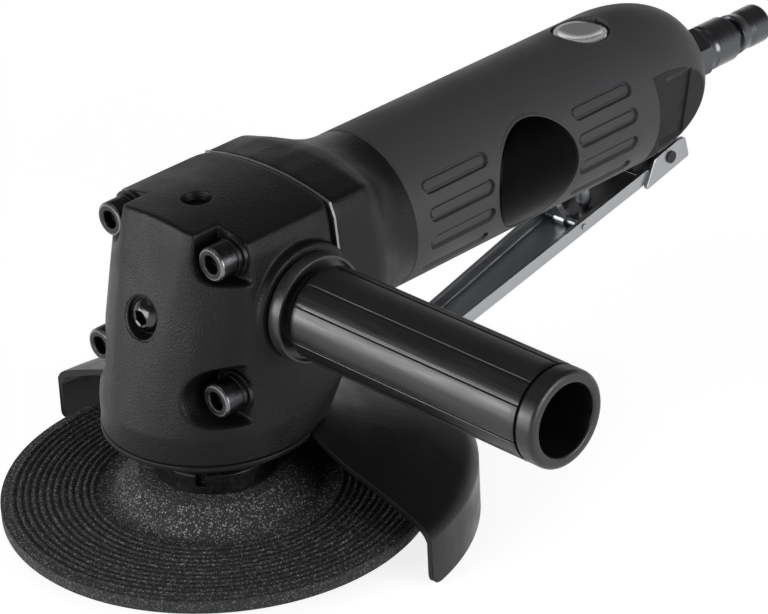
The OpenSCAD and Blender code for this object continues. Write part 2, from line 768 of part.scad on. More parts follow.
module front_bearing_inner() {
  color(bare_steel) along_x(front_bearing_x) inner_race(front_bearing);
}
module front_bearing_outer() {
  color(bare_steel) along_x(front_bearing_x) outer_race(front_bearing);
}
module front_bearing_balls() {
  color(bare_steel) along_x(front_bearing_x) race_balls(front_bearing, 8);
}
module rear_bearing_inner() {
  color(bare_steel) along_x(rear_bearing_x) inner_race(rear_bearing);
}
module rear_bearing_outer() {
  color(bare_steel) along_x(rear_bearing_x) outer_race(rear_bearing);
}
module rear_bearing_balls() {
  color(bare_steel) along_x(rear_bearing_x) race_balls(rear_bearing, 7);
}
module dowel_hole(x0, x1) {
  along_x(x0, 0, motor_z - dowel_drop) cylinder(r = dowel_r, h = x1 - x0);
}
module front_end_plate() {
  b = front_bearing;
  lip_r = b[1] - 1.6;
  color(dark_steel) difference() {
    along_x(0) rotate_extrude() polygon([
      [lip_r, housing_x + 0.1], [cup_r, housing_x + 0.1], [cup_r, front_plate_x - 1],
      [stack_r, front_plate_x], [stack_r, cylinder_x], [b[0] + 0.5, cylinder_x],
      [b[0] + 0.5, front_plate_x], [b[1], front_plate_x], [b[1], front_bearing_x],
      [lip_r, front_bearing_x]]);
    dowel_hole(front_plate_x + 2, cylinder_x + 1);
  }
}
module rear_end_plate() {
  b = rear_bearing;
  color(dark_steel) difference() {
    along_x(0) rotate_extrude() polygon([
      [b[0] + 0.5, rear_plate_x], [stack_r, rear_plate_x], [stack_r, rear_plate_x + plate_t - 2],
      [cup_r, rear_plate_x + plate_t - 1], [cup_r, motor_end], [b[1], motor_end],
      [b[1], rear_bearing_x], [b[0] + 0.5, rear_bearing_x]]);
    dowel_hole(rear_plate_x - 1, rear_plate_x + 4);
  }
}
module motor_cylinder() {
  color(bare_steel) difference() {
    along_x(cylinder_x) cylinder(r = stack_r, h = cylinder_l);
    along_x(cylinder_x - 1, 0, motor_z + bore_offset) cylinder(r = cylinder_bore_r, h = cylinder_l + 2);
    dowel_hole(cylinder_x - 1, rear_plate_x + 1);
    for (i = [0:4]) along_y(cylinder_x + 12 + 10 * i, 0, motor_z + 4) cylinder(r = 2, h = 40);
    for (i = [0:4]) along_y(cylinder_x + 12 + 10 * i, -40, motor_z + 4) cylinder(r = 1.5, h = 40);
  }
}
module cylinder_dowel() {
  color(dark_steel) along_x(front_plate_x + 2, 0, motor_z - dowel_drop)
    cylinder(r = dowel_r, h = cylinder_l + plate_t + 2);
}

// Housing: joint block drawn in to the round tube, valve block and lever lug
module housing_loft() {
  stations = [[housing_x, 0], [41, 0], [44, 0.2], [47.5, 0.55], [51.5, 0.83], [55.5, 0.96], [grip_x0, 1]];
  n = len(joint_section());
  points = [for (s = stations) for (p = blend_section(s[1], grip_r - 0.15)) [s[0], p[0], p[1]]];
  last = (len(stations) - 1) * n;
  faces = concat(skin(len(stations), n), end_face(0, n, true), end_face(last, n, false));
  polyhedron(points, reversed(faces));
}
module motor_housing() {
  color(black_paint) difference() {
    union() {
      housing_loft();
      along_x(grip_x0 - 1) cylinder(r = tube_r, h = tube_end - grip_x0 + 1);
      along_x(tube_end - 1) cylinder(r = core_r, h = core_end - tube_end + 1);
      along_y(pivot_x, -lug_w, pivot_z) linear_extrude(2 * lug_w) union() {
        translate([-lug_r, -16]) square([2 * lug_r, 16]);
        circle(lug_r);
      }
      along_y(pivot_x, -lug_front_w, pivot_z) linear_extrude(2 * lug_front_w) union() {
        translate([-lug_front, -16]) square([lug_front, 16]);
        hull() {
          translate([3 - lug_front, 0]) circle(3);
          circle(lug_r - 0.4);
        }
      }
    }
    along_x(housing_x - 1) cylinder(r = stack_bore_r, h = motor_end + 0.3 - housing_x + 1);
    for (p = [upper_screw, lower_screw]) for (s = [-1, 1])
      along_x(housing_x - 1, s * p[0], p[1]) cylinder(r = screw_r, h = screw_reach + 1);
    translate([valve_x, 0, seat_z]) cylinder(r = valve_bore_r, h = 60);
    translate([valve_x, 0, plug_z]) cylinder(r = plug_r + 0.05, h = 20);
    translate([valve_x, 0, 40]) cylinder(r = bush_r, h = seat_z - 39);
    along_x(motor_end - 1, 0, duct_z) cylinder(r = duct_r, h = valve_x - motor_end, $fn = 12);
    along_x(valve_x + 3, 0, inlet_z + 1) cylinder(r = 4.5, h = 25);
    along_x(inlet_x, 0, inlet_z) cylinder(r = inlet_r, h = 30);
    along_y(pivot_x, -20, pivot_z) cylinder(r = pin_r, h = 40);
    for (i = [-1:1]) translate([48 + 3 * abs(i), 7 * i, 30]) cylinder(r = 2.2, h = 25);
  }
}

// Grip sleeve with its slots, badges' seats and flat pads
module slot_cut(x0, x1, angle, w, depth) {
  translate([0, 0, motor_z]) rotate([90 - angle, 0, 0]) translate([0, 0, grip_r - depth]) {
    translate([x0 + w / 2, -w / 2, 0]) cube([x1 - x0 - w, w, 10]);
    translate([x0 + w / 2, 0, 0]) cylinder(r = w / 2, h = 10);
    translate([x1 - w / 2, 0, 0]) cylinder(r = w / 2, h = 10);
  }
}
module badge_form(r, r_in, r_out) {
  intersection() {
    along_x(badge_x - 20) ring(r_in, r_out, 40);
    along_y(badge_x, -40, motor_z - 0.4) cylinder(r = r, h = 40);
  }
}
module grip_sleeve() {
  dome = [for (i = [0:8]) let (a = 90 - 90 * i / 8)
    [dome_r + (grip_r - dome_r) * sin(a), dome_x + (grip_x1 - dome_x) * cos(a)]];
  color(black_rubber) difference() {
    along_x(0) rotate_extrude($fn = 96) polygon(concat(
      [[grip_bore, grip_x0 + 0.1], [grip_r, grip_x0 + 0.1]], dome,
      [[6, grip_x1], [6, core_end + 0.1], [core_r + 0.05, core_end + 0.1],
        [core_r + 0.05, tube_end + 0.1], [grip_bore, tube_end + 0.1]]));
    along_x(core_end - 1, 0, inlet_z) cylinder(r = inlet_r + 0.1, h = 10);
    translate([valve_x, 0, motor_z]) cylinder(r = plug_r + 0.6, h = 40);
    translate([valve_x, 0, 30]) cylinder(r = bush_r + 0.4, h = 20);
    translate([pivot_x - lug_r - 0.4, -lug_w - 0.15, 30]) cube([2 * lug_r + 0.8, 2 * lug_w + 0.3, 28]);
    translate([pivot_x - lug_front - 0.4, -lug_front_w - 0.15, 30])
      cube([lug_front, 2 * lug_front_w + 0.3, 28]);
    both_sides() {
      for (a = slot_angles) {
        slot_cut(slot_front[0], slot_front[1], a, slot_w, slot_depth);
        slot_cut(slot_rear[0], slot_rear[1], a, slot_w, slot_depth);
      }
      badge_form(badge_r + 0.15, badge_floor, grip_r + 4);
      translate([pad_x, 0, motor_z]) rotate([90 + pad_tilt, 0, 0]) {
        translate([0, -30, pad_dist]) cube([60, 60, 20]);
        translate([7.5, -12, pad_dist - pad_recess]) cube([11, 24, 5]);
      }
    }
  }
}
module side_badges() {
  color(black_plastic) both_sides() badge_form(badge_r, badge_floor + 0.01, grip_r + badge_proud);
}

// Throttle valve, from the top plug down to the stem
module valve_plug() {
  color(bare_steel) translate([valve_x, 0, 0]) difference() {
    rotate_extrude() polygon([
      [0, plug_low + 3], [spring_r + 1, plug_low + 3], [spring_r + 1, plug_low], [valve_bore_r, plug_low],
      [valve_bore_r, ring_z - 1], [valve_bore_r - 1.4, ring_z - 1], [valve_bore_r - 1.4, ring_z + 1],
      [valve_bore_r, ring_z + 1], [valve_bore_r, plug_z], [plug_r, plug_z], [plug_r, plug_top - 0.4],
      [plug_r - 0.4, plug_top], [0, plug_top]]);
    translate([0, 0, plug_top - 1.5 + plug_dish_r]) sphere(plug_dish_r, $fn = 96);
  }
}
module plug_o_ring() {
  wire = 0.7;
  color(black_rubber) translate([valve_x, 0, ring_z])
    rotate_extrude() translate([valve_bore_r - wire, 0]) circle(wire, $fn = 24);
}
module valve_spring() {
  low = valve_z + valve_head_h + spring_wire_r + 0.1;
  high = plug_low + 3 - spring_wire_r - 0.1;
  pitch = (high - low) / spring_turns;
  echo(valve_spring_gap = pitch - 2 * spring_wire_r);
  color(bare_steel) translate([valve_x, 0, low])
    coil(spring_r, pitch, spring_turns, spring_wire_r, 12);
}
module throttle_valve() {
  color(bare_steel) translate([valve_x, 0, 0]) rotate_extrude() polygon(concat(
    [[0, lever_web_z + move_gap]], arc([0, lever_web_z + move_gap + stem_r], stem_r, -80, 0, 5),
    [[stem_r, valve_z], [valve_head_r, valve_z], [valve_head_r, valve_z + valve_head_h],
      [2.4, valve_z + valve_head_h], [2.4, valve_z + valve_head_h + 2], [0, valve_z + valve_head_h + 2]]));
}
module valve_seal() {
  color(black_rubber) translate([valve_x, 0, valve_z - 0.8]) ring(stem_r, valve_head_r, 0.8);
}
module valve_seat() {
  color(bronze) translate([valve_x, 0, seat_z]) ring(seat_bore_r, valve_bore_r, seat_t);
}
module stem_bush() {
  color(bronze) translate([valve_x, 0, bush_z0]) ring(stem_r + run_fit, bush_r, bush_z1 - bush_z0);
}

// Air inlet
module inlet_bushing() {
  flange_r = 9.8;
  flange_x = grip_x1 + 3;
  color(bare_steel) along_x(0, 0, inlet_z) rotate_extrude() polygon([
    [5.5, inlet_x], [inlet_r, inlet_x], [inlet_r, grip_x1], [flange_r, grip_x1],
    [flange_r, flange_x - 0.6], [flange_r - 0.6, flange_x], [6.6, flange_x], [6.6, inlet_x + 6],
    [5.5, inlet_x + 6]]);
}
module inlet_screen() {
  color(bronze) along_x(inlet_x + 6, 0, inlet_z) difference() {
    cylinder(r = 6.6, h = 1);
    for (i = [0:5]) rotate(60 * i) translate([3.6, 0, -1]) cylinder(r = 1.2, h = 3);
    translate([0, 0, -1]) cylinder(r = 1.2, h = 3);
  }
}
module air_plug() {
  hex_x = grip_x1 + 3.1;
  end_x = 238.9;
  end_r = 6.3;
  color(dark_steel) along_x(0, 0, inlet_z) difference() {
    union() {
      translate([0, 0, inlet_x + 7]) cylinder(r = 6.6, h = hex_x - inlet_x - 6);
      intersection() {
        translate([0, 0, hex_x]) hexagon(15, 9);
        translate([0, 0, hex_x]) cylinder(r1 = 8.2, r2 = 12.7, h = 9);
        translate([0, 0, hex_x]) cylinder(r1 = 12.7, r2 = 8.2, h = 9);
      }
      rotate_extrude() polygon(concat(
        [[0, hex_x + 8], [6.8, hex_x + 8], [6.8, hex_x + 12], [7.3, hex_x + 13], [7.3, hex_x + 22.4],
          [6.9, hex_x + 23], [5.2, hex_x + 23.3], [5.2, hex_x + 25.2], [6.5, hex_x + 25.8],
          [6.5, hex_x + 27], [6, hex_x + 29.6], [end_r, end_x - 7.5], [end_r, end_x - 1.5]],
        arc([end_r - 1.5, end_x - 1.5], 1.5, 0, 90, 4), [[0, end_x]]));
    }
    translate([0, 0, 100]) cylinder(r = 3.2, h = 200);
  }
}

// Throttle lever: U-shaped sheet with ears on the pivot pin
lever_web_z = pivot_z - (pivot_x - valve_x) * tan(lever_angle) - (web_drop - lever_t) / cos(lever_angle);
module at_lever() {
  translate([pivot_x, 0, pivot_z]) rotate([0, -lever_angle, 0]) children();
}
module lever_half_plan(inset) {
  tip_r = 3;
  polygon(concat([[channel_back, 0], [channel_back, channel_w - inset]],
    arc([-lever_l + tip_r, tip_w - tip_r], tip_r - inset, 90, 180, 4), [[-lever_l + inset, 0]]));
}
module throttle_lever() {
  color(bare_steel) at_lever() difference() {
    union() {
      difference() {
        translate([0, 0, -web_drop]) linear_extrude(lever_t + lever_flange_h) both_plan() lever_half_plan(0);
        translate([0, 0, -web_drop + lever_t]) linear_extrude(20)
          both_plan() lever_half_plan(lever_t);
      }
      both_sides() translate([0, ear_out, 0]) rotate([90, 0, 0])
        linear_extrude(lever_t) polygon([[-ear_x, -web_drop], [ear_back, -web_drop], [ear_back, 2.4],
          [4.5, 3.4], [-6, 3.4], [-7, 2.8], [-ear_x, -web_drop + 0.9]]);
      translate([-ear_x, -ear_out, -web_drop]) cube([2.4, 2 * ear_out, lever_t]);
    }
    translate([-latch_x - 7, -2.4, -web_drop - 1]) cube([10.2, 4.8, 5]);
    along_y(0, -20, 0) cylinder(r = pin_r + run_fit, h = 40);
    along_y(-latch_x, -20, latch_z) cylinder(r = latch_pin_r, h = 40);
  }
}
module both_plan() {
  for (s = [-1, 1]) scale([1, s]) children();
}
module lever_pin() {
  color(dark_steel) along_y(pivot_x, -ear_out - 0.6, pivot_z) cylinder(r = pin_r, h = 2 * ear_out + 1.2);
}

// Safety latch on the lever, with its pin and torsion spring
module safety_latch() {
  color(bare_steel) at_lever() translate([-latch_x, 0, latch_z]) difference() {
    union() {
      along_y(0, -latch_t / 2, 0) cylinder(r = latch_hub_r, h = latch_t);
      rotate([0, -latch_lean, 0]) translate([-1, -latch_t / 2, 0]) cube([2, latch_t, latch_arm]);
      rotate([0, -latch_lean, 0]) translate([0, -latch_t / 2, latch_arm]) rotate([-90, 0, 0])
        cylinder(r = 1.6, h = latch_t);
      translate([0.5, -latch_t / 2, -1.3]) cube([4.4, latch_t, 1.6]);
    }
    along_y(0, -20, 0) cylinder(r = latch_pin_r + run_fit, h = 40);
  }
}
module latch_pin() {
  color(dark_steel) at_lever() along_y(-latch_x, -9.2, latch_z) cylinder(r = latch_pin_r, h = 18.4);
}
module latch_spring() {
  wire = 0.3;
  turns = 3;
  pitch = 1.25;
  echo(latch_spring_gap = pitch - 2 * wire);
  color(bare_steel) at_lever() along_y(-latch_x, latch_t / 2 + wire + 0.2, latch_z)
    coil(latch_pin_r + wire + 0.1, pitch, turns, wire, 10);
}

// Guard: pressed sheet with a full mounting ring and a skirt behind the wheel
function guard_skin(t) = let (
    r = guard_r - t,
    z0 = guard_root[1] - t,
    drop = guard_root[1] - guard_shoulder_z
  ) concat([[guard_ring_r - 2, guard_ring_z + guard_ring_t - t]],
    [for (p = guard_curve) [guard_root[0] + p[0] * (r - guard_root[0]), z0 - p[1] * drop]],
    [[r, guard_z0]]);
module guard() {
  outer = guard_skin(0);
  inner = guard_skin(guard_t);
  n = len(inner);
  color(black_paint) difference() {
    rotate_extrude($fn = 96) polygon(concat(
      [[guard_bore_r, guard_ring_z + guard_ring_t]], outer, [for (i = [n - 1:-1:1]) inner[i]],
      [[guard_bore_r, guard_ring_z]]));
    rotate(guard_turn) difference() {
      translate([guard_edge_x - 200, -100, guard_z0 - 1]) cube([200, 200, 60]);
      translate([0, 0, guard_z0 - 2]) cylinder(r = guard_ring_r, h = 80);
    }
    rotate(guard_turn) translate([guard_edge_x, guard_r + 10, guard_z0]) rotate([90, 0, 0])
      linear_extrude(2 * guard_r + 20)
        polygon(concat([[-1, -1], [4, -1]], arc([4, 4], 4, -90, -180, 6), [[-1, 4]]));
  }
}

// Side handle
module handle_collar() {
  neck_r = handle_r - 2.4;
  color(black_plastic) along_y(handle_x, -boss_y, motor_z) rotate([180, 0, 0]) rotate_extrude() polygon(
    concat([[stud_r, 0.02], [collar_r - 1, 0.02]], arc([collar_r - 1.2, 1.4], 1.2, -60, 0, 3),
      [[collar_r, collar_t - 0.3], [collar_r - 0.3, collar_t], [collar_r - collar_lip, collar_t],
        [collar_r - collar_lip, collar_t - collar_recess], [neck_r + 0.4, collar_t - collar_recess],
        [neck_r + 0.4, collar_t], [stud_r, collar_t]]));
}
module handle_stud() {
  tip = stud_in + 1;
  color(bare_steel) along_y(handle_x, -boss_y - collar_t - 14, motor_z)
    cylinder(r = stud_r, h = boss_y + collar_t + 14 - tip);
}
module side_handle() {
  y0 = boss_y + collar_t + 0.02;
  neck_r = handle_r - 2.4;
  floor_y = y0 + 16;
  rim_y = handle_end - end_ring_w;
  color(black_plastic) along_y(handle_x, 0, motor_z) rotate([180, 0, 0]) difference() {
    rotate_extrude() polygon(concat(
      [[stud_r, y0], [neck_r, y0], [neck_r, y0 + 2]], arc([handle_r - 1, y0 + 3], 1, -60, 0, 3),
      [[handle_r, rim_y - end_groove_w], [handle_r - 0.9, rim_y - end_groove_w],
        [handle_r - 0.9, rim_y], [handle_r - 0.1, rim_y]],
      arc([handle_r - 1.6, handle_end - 1.6], 1.5, 0, 90, 4),
      arc([handle_bore_r + 0.8, handle_end - 0.8], 0.7, 90, 180, 3),
      [[handle_bore_r, floor_y], [stud_r, floor_y]]));
    for (i = [0:handle_lands - 1]) for (share = [0, 1 - land_narrow])
      rotate(land_start + 360 * (i + share) / handle_lands)
        translate([handle_r - land_groove, -0.5, y0 + 4.5]) cube([3, 1, rim_y - end_groove_w * 0.7 - y0 - 4.5]);
  }
}

gear_head();
grease_plug();
front_button_screw();
head_cap_screws();
head_spring_washers();
head_washers();
head_gasket();
bearing_cap();
bearing_cap_screws();
spindle_seal();
spindle_bearing_outer();
spindle_bearing_balls();
spindle_bearing_inner();
needle_bearing();
spindle();
gear_key();
bevel_gear();
gear_retaining_ring();
inner_flange();
grinding_wheel();
wheel_bush();
flange_nut();
pinion();
rotor();
rotor_vanes();
front_bearing_inner();
rear_bearing_inner();
front_bearing_outer();
front_bearing_balls();
rear_bearing_outer();
rear_bearing_balls();
front_end_plate();
rear_end_plate();
motor_cylinder();
cylinder_dowel();
motor_housing();
grip_sleeve();
side_badges();
valve_plug();
plug_o_ring();
valve_spring();
throttle_valve();
valve_seal();
valve_seat();
stem_bush();
inlet_bushing();
inlet_screen();
air_plug();
throttle_lever();
lever_pin();
safety_latch();
latch_pin();
latch_spring();
guard();
side_handle();
handle_collar();
handle_stud();
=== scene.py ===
"""Air angle grinder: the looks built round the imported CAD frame. Lengths are in millimetres until a
mesh is made."""

import math

import bmesh
import bpy
import numpy as np
from mathutils import Matrix, Vector


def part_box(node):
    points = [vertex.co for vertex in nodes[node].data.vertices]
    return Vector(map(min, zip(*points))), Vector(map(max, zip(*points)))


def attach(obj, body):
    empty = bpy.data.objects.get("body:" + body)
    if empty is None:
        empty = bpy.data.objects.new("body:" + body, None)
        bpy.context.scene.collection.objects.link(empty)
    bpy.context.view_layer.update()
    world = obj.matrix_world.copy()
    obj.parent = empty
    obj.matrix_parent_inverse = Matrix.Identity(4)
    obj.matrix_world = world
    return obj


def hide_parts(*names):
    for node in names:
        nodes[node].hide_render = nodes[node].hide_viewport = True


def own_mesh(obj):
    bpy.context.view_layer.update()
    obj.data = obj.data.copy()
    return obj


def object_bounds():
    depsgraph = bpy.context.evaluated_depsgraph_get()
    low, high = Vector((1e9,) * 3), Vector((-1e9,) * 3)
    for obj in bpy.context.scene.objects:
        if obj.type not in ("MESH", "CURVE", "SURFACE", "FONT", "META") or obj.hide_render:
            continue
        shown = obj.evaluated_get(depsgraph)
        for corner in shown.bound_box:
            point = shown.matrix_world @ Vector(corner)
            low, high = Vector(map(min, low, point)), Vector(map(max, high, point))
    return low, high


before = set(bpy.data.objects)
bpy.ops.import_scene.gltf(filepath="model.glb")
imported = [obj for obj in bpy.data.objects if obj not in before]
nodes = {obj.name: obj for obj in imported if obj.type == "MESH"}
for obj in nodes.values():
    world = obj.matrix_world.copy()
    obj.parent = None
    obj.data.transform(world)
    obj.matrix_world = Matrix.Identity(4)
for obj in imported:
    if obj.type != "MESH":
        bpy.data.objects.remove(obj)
cad_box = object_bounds()
scene = bpy.context.scene
MM = 0.001


# Camera: it stands in front of the wheel, a little above the tool, and rolled slightly to its
# right. The long lens and the aim point come from matching the rims of the wheel and of the
# handle's bore.
CAMERA_AZIMUTH = math.radians(-43.46)
CAMERA_ELEVATION = math.radians(28.40)
CAMERA_ROLL = math.radians(-2.90)
CAMERA_AIM = Vector((50, 0, 50)) * MM
CAMERA_DISTANCE = 1052.57 * MM
CAMERA_STEP = (14.163 * MM, -8.094 * MM)
PICTURE_WIDTH = 768
PICTURE_FOCAL = 3640.05
SENSOR = 36.0

camera_data = bpy.data.cameras.new("camera")
camera = bpy.data.objects.new("camera", camera_data)
scene.collection.objects.link(camera)
scene.camera = camera
back = Vector((
    math.sin(CAMERA_AZIMUTH) * math.cos(CAMERA_ELEVATION),
    -math.cos(CAMERA_AZIMUTH) * math.cos(CAMERA_ELEVATION),
    math.sin(CAMERA_ELEVATION)))
level = Vector((math.cos(CAMERA_AZIMUTH), math.sin(CAMERA_AZIMUTH), 0))
upward = back.cross(level)
right = level * math.cos(CAMERA_ROLL) + upward * math.sin(CAMERA_ROLL)
above = upward * math.cos(CAMERA_ROLL) - level * math.sin(CAMERA_ROLL)
pose = Matrix((right, above, back)).transposed().to_4x4()
pose.translation = (CAMERA_AIM + back * CAMERA_DISTANCE
                    + right * CAMERA_STEP[0] + above * CAMERA_STEP[1])
camera.matrix_world = pose
camera_data.sensor_width = SENSOR
camera_data.sensor_fit = "HORIZONTAL"
camera_data.lens = PICTURE_FOCAL * SENSOR / PICTURE_WIDTH
camera_data.clip_start = 0.01
camera_data.clip_end = 20


# Gear head: a bevel gear housing in one aluminium casting. Its round foot draws in to a flat topped
# block, the four screw heads sit in pockets, and a boss on each side takes the handle. Its joint
# face is milled flat and meets the motor.
DRUM_R, DRUM_TOP, HEAD_TOP, CROWN_R = 31.5, 36.5, 95.6, 98.0
JOINT_X, JOINT_LOW, MOTOR_Z = 26.05, 37.9, 68.0
JOINT_SOLE, JOINT_CORNER, JOINT_CORNER_R = ((0, 38.38), (11, 38.41)), (22, 47.5), 9
NOSE_X, NOSE_SLOPE, NOSE_HALF, NOSE_LIMIT = -15, 0.279, 14.7, -30.0
SHOULDERS = ((88.0, 27.0), (92.3, 25.3), (HEAD_TOP, 24.6))
UPPER_SCREW, LOWER_SCREW = (-5.8, 20.8, 87.6), (-10.5, 24.2, 48.5)
POCKET_R, SCOOP_R = 6.8, 8.3
BUTTON_SEAT, BUTTON_Z, BUTTON_RECESS_R, RECESS_BLUR = -20.9, 67.5, 5.9, 0.5
RECESS_RIM = ((0, 4.0), (0, 0.25), (0.08, 0.07), (0.3, -0.03), (1.2, 0.05), (1.2, 4.0), (0, 4.0))
GREASE_FLOOR, GREASE_HOLE_R = 93.1, 4.05
BOSS_X, BOSS_R, BOSS_Y = 11.6, 18.0, 30.3
THREAD_R, THREAD_DEPTH, THREAD_PITCH = 5.0, 14.7, 1.5
HEAD_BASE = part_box("gear_head")[0].z / MM
FAR, TINY = 1e3, 1e-6


def linear(colour):
    """Turns an sRGB hex colour to linear: c / 12.92 in the dark, and ((c + 0.055) / 1.055) ** 2.4
    above."""
    parts = [int(colour[i:i + 2], 16) / 255 for i in (1, 3, 5)]
    return (*[c / 12.92 if c <= 0.04045 else ((c + 0.055) / 1.055) ** 2.4 for c in parts], 1)


def add_node(tree, kind, links=None, **settings):
    """Adds a node. Settings name its properties, or its sockets by number as s0, s1; links feed
    sockets."""
    node = tree.nodes.new(kind)
    for name, value in settings.items():
        if name[0] == "s" and name[1:].isdigit():
            node.inputs[int(name[1:])].default_value = value
        else:
            setattr(node, name, value)
    for socket, output in (links or {}).items():
        tree.links.new(output, node.inputs[socket])
    return node


def new_finish(name, colour, metallic, roughness, **sockets):
    """A material on one Principled shader, with its even values on the shader's own sockets. Gives
    the material, and then its tree, its shader and its Object coordinates."""
    material = bpy.data.materials.new(name)
    material.use_nodes = True
    surface = material.node_tree.nodes["Principled BSDF"]
    surface.inputs["Base Color"].default_value = linear(colour)
    surface.inputs["Metallic"].default_value = metallic
    surface.inputs["Roughness"].default_value = roughness
    for socket, value in sockets.items():
        surface.inputs[socket.replace("_", " ")].default_value = value
    place = add_node(material.node_tree, "ShaderNodeTexCoord").outputs["Object"]
    return material, material.node_tree, surface, place


def grain(tree, surface, place, size, detail, stretch=None, spread=(0.3, 0.7), gloss=None,
          depth=0, edge_r=0):
    """Works a noise into a finish, its lumps about size mm across and drawn out along an axis where
    the stretch is under 1. With gloss, its values from spread[0] to spread[1] become the roughness
    from gloss[0] to gloss[1]. With depth, it raises the surface by that many mm. With edge_r, what
    the light sees of each edge is rounded to that radius in mm."""
    if stretch:
        place = add_node(tree, "ShaderNodeMapping", {"Vector": place}, s3=stretch).outputs[0]
    noise = add_node(tree, "ShaderNodeTexNoise", {"Vector": place}, s2=1 / (size * MM), s3=detail)
    shape = {"Height": noise.outputs[0]}
    if gloss:
        dull = add_node(tree, "ShaderNodeMapRange", {"Value": noise.outputs[0]},
                        s1=spread[0], s2=spread[1], s3=gloss[0], s4=gloss[1])
        tree.links.new(dull.outputs[0], surface.inputs["Roughness"])
    if edge_r:
        edge = add_node(tree, "ShaderNodeBevel", samples=4, s0=edge_r * MM)
        shape["Normal"] = edge.outputs[0]
        tree.links.new(edge.outputs[0], surface.inputs["Normal"])
    if depth:
        bump = add_node(tree, "ShaderNodeBump", shape, s0=1.0, s1=depth * MM)
        tree.links.new(bump.outputs[0], surface.inputs["Normal"])
    return noise.outputs[0]


def coat(material, *names):
    """Gives CAD nodes a finish: every slot of each node's mesh takes the material."""
    for name in names:
        for held in nodes[name].material_slots:
            held.material = material


def skin(name, grids, material, body, stands_for=(), ring=True, crease=35):
    """Skins grids of points in mm, rows by columns, as one mesh at the origin. A quad joins each
    four neighbours, columns may close in a ring, and a row whose points all meet makes a pole.
    Doubled points are merged, open ends filled, faces turned outwards, and edges over the crease
    angle stay sharp."""
    points, faces, first = [], [], 0
    for grid in grids:
        rows, columns = grid.shape[:2]
        i, j = np.meshgrid(
            np.arange(rows - 1), np.arange(columns if ring else columns - 1), indexing="ij")
        k = (j + 1) % columns
        quads = np.stack(
            [i * columns + j, i * columns + k, (i + 1) * columns + k, (i + 1) * columns + j], -1)
        points.append(grid.reshape(-1, 3) * MM)
        faces.append(quads.reshape(-1, 4) + first)
        first += rows * columns
    mesh = bpy.data.meshes.new(name)
    mesh.from_pydata(np.vstack(points).tolist(), [], np.vstack(faces).tolist())
    form = bmesh.new()
    form.from_mesh(mesh)
    bmesh.ops.remove_doubles(form, verts=form.verts, dist=2e-6)
    bmesh.ops.holes_fill(form, edges=[e for e in form.edges if e.is_boundary], sides=0)
    bmesh.ops.recalc_face_normals(form, faces=form.faces)
    form.to_mesh(mesh)
    form.free()
    mesh.shade_smooth()
    mesh.set_sharp_from_angle(angle=math.radians(crease))
    mesh.materials.append(material)
    piece = bpy.data.objects.new(name, mesh)
    scene.collection.objects.link(piece)
    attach(piece, body)
    if stands_for:
        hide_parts(*stands_for)
    return piece


def resampled(line, count, closed=False):
    """A line of points set out anew at even steps of its own length, count of them. A closed line
    stops one step short of where it began."""
    if closed:
        line = np.vstack([line, line[:1]])
    run = np.concatenate([[0], np.cumsum(np.hypot(*np.diff(line, axis=0).T))])
    at = np.linspace(0, run[-1], count, endpoint=not closed)
    return np.column_stack([np.interp(at, run, line[:, 0]), np.interp(at, run, line[:, 1])])


def joint_outline(count=240):
    """The joint face as (y, z) points: a flat sole with round corners, sides that lean in, a bevel
    and a crown, half of it worked out and the rest mirrored."""
    bend = np.radians(np.linspace(-90, 0, 9))
    corner = np.column_stack([JOINT_CORNER[0] + JOINT_CORNER_R * np.cos(bend),
                              JOINT_CORNER[1] + JOINT_CORNER_R * np.sin(bend)])
    crown = np.array([SHOULDERS[1][1], 17, 8.5, 0.0])
    crown = np.column_stack([crown, HEAD_TOP - CROWN_R + np.sqrt(CROWN_R ** 2 - crown ** 2)])
    half = np.vstack([JOINT_SOLE, corner, [SHOULDERS[0][::-1]], crown])
    return resampled(np.vstack([half, half[-2:0:-1] * [-1, 1]]), count, closed=True)


def nose_face(z):
    """How far forward the nose's flat face stands at a height: it leans back in a straight line."""
    return NOSE_X - NOSE_SLOPE * (HEAD_TOP - z)


def block_plan(z, half_width):
    """The block's plan at a height: the nose's face, a corner, then straight sides to the joint."""
    half = np.array([[nose_face(z), 12], [nose_face(z) + 1.2, NOSE_HALF],
                     [UPPER_SCREW[0] - 1, half_width], [JOINT_X, half_width]])
    plan = np.vstack([half, half * [1, -1]])
    return np.column_stack([plan, np.full(len(plan), z)])


def block_reach(start_z, tilt, turn):
    """Reach of rays from the spindle's axis inside the hull of foot, block and joint face: along
    each ray, the least distance to the planes that touch the hull, one plane for each of a fan of
    directions."""
    around = np.radians(np.arange(0, 360, 3))
    drum = np.column_stack([DRUM_R * np.cos(around), DRUM_R * np.sin(around)])
    face = joint_outline()
    corners = np.vstack(
        [np.column_stack([drum, np.full(len(drum), z)]) for z in (HEAD_BASE, DRUM_TOP)]
        + [block_plan(z, half_width) for z, half_width in SHOULDERS]
        + [np.column_stack([np.full(len(face), x), face]) for x in (JOINT_X - 1, JOINT_X)])
    side, lift = np.meshgrid(
        np.radians(np.arange(0, 360, 2.5)),
        np.radians(np.concatenate([np.linspace(-20, 20, 21), np.linspace(24, 90, 16)])))
    side, lift = side.ravel(), lift.ravel()
    normals = np.column_stack(
        [np.cos(side) * np.cos(lift), np.sin(side) * np.cos(lift), np.sin(lift)])
    reach = (normals @ corners.T).max(1)
    far = np.empty((len(start_z), len(turn)))
    for row, (z, e) in enumerate(zip(start_z, tilt)):
        rays = np.column_stack([np.cos(turn) * math.cos(e), np.sin(turn) * math.cos(e),
                                np.full(len(turn), math.sin(e))])
        along = rays @ normals.T
        room = np.where(along > 0.02, (reach - normals[:, 2] * z) / np.maximum(along, 0.02), FAR)
        far[row] = room.min(1)
    return far


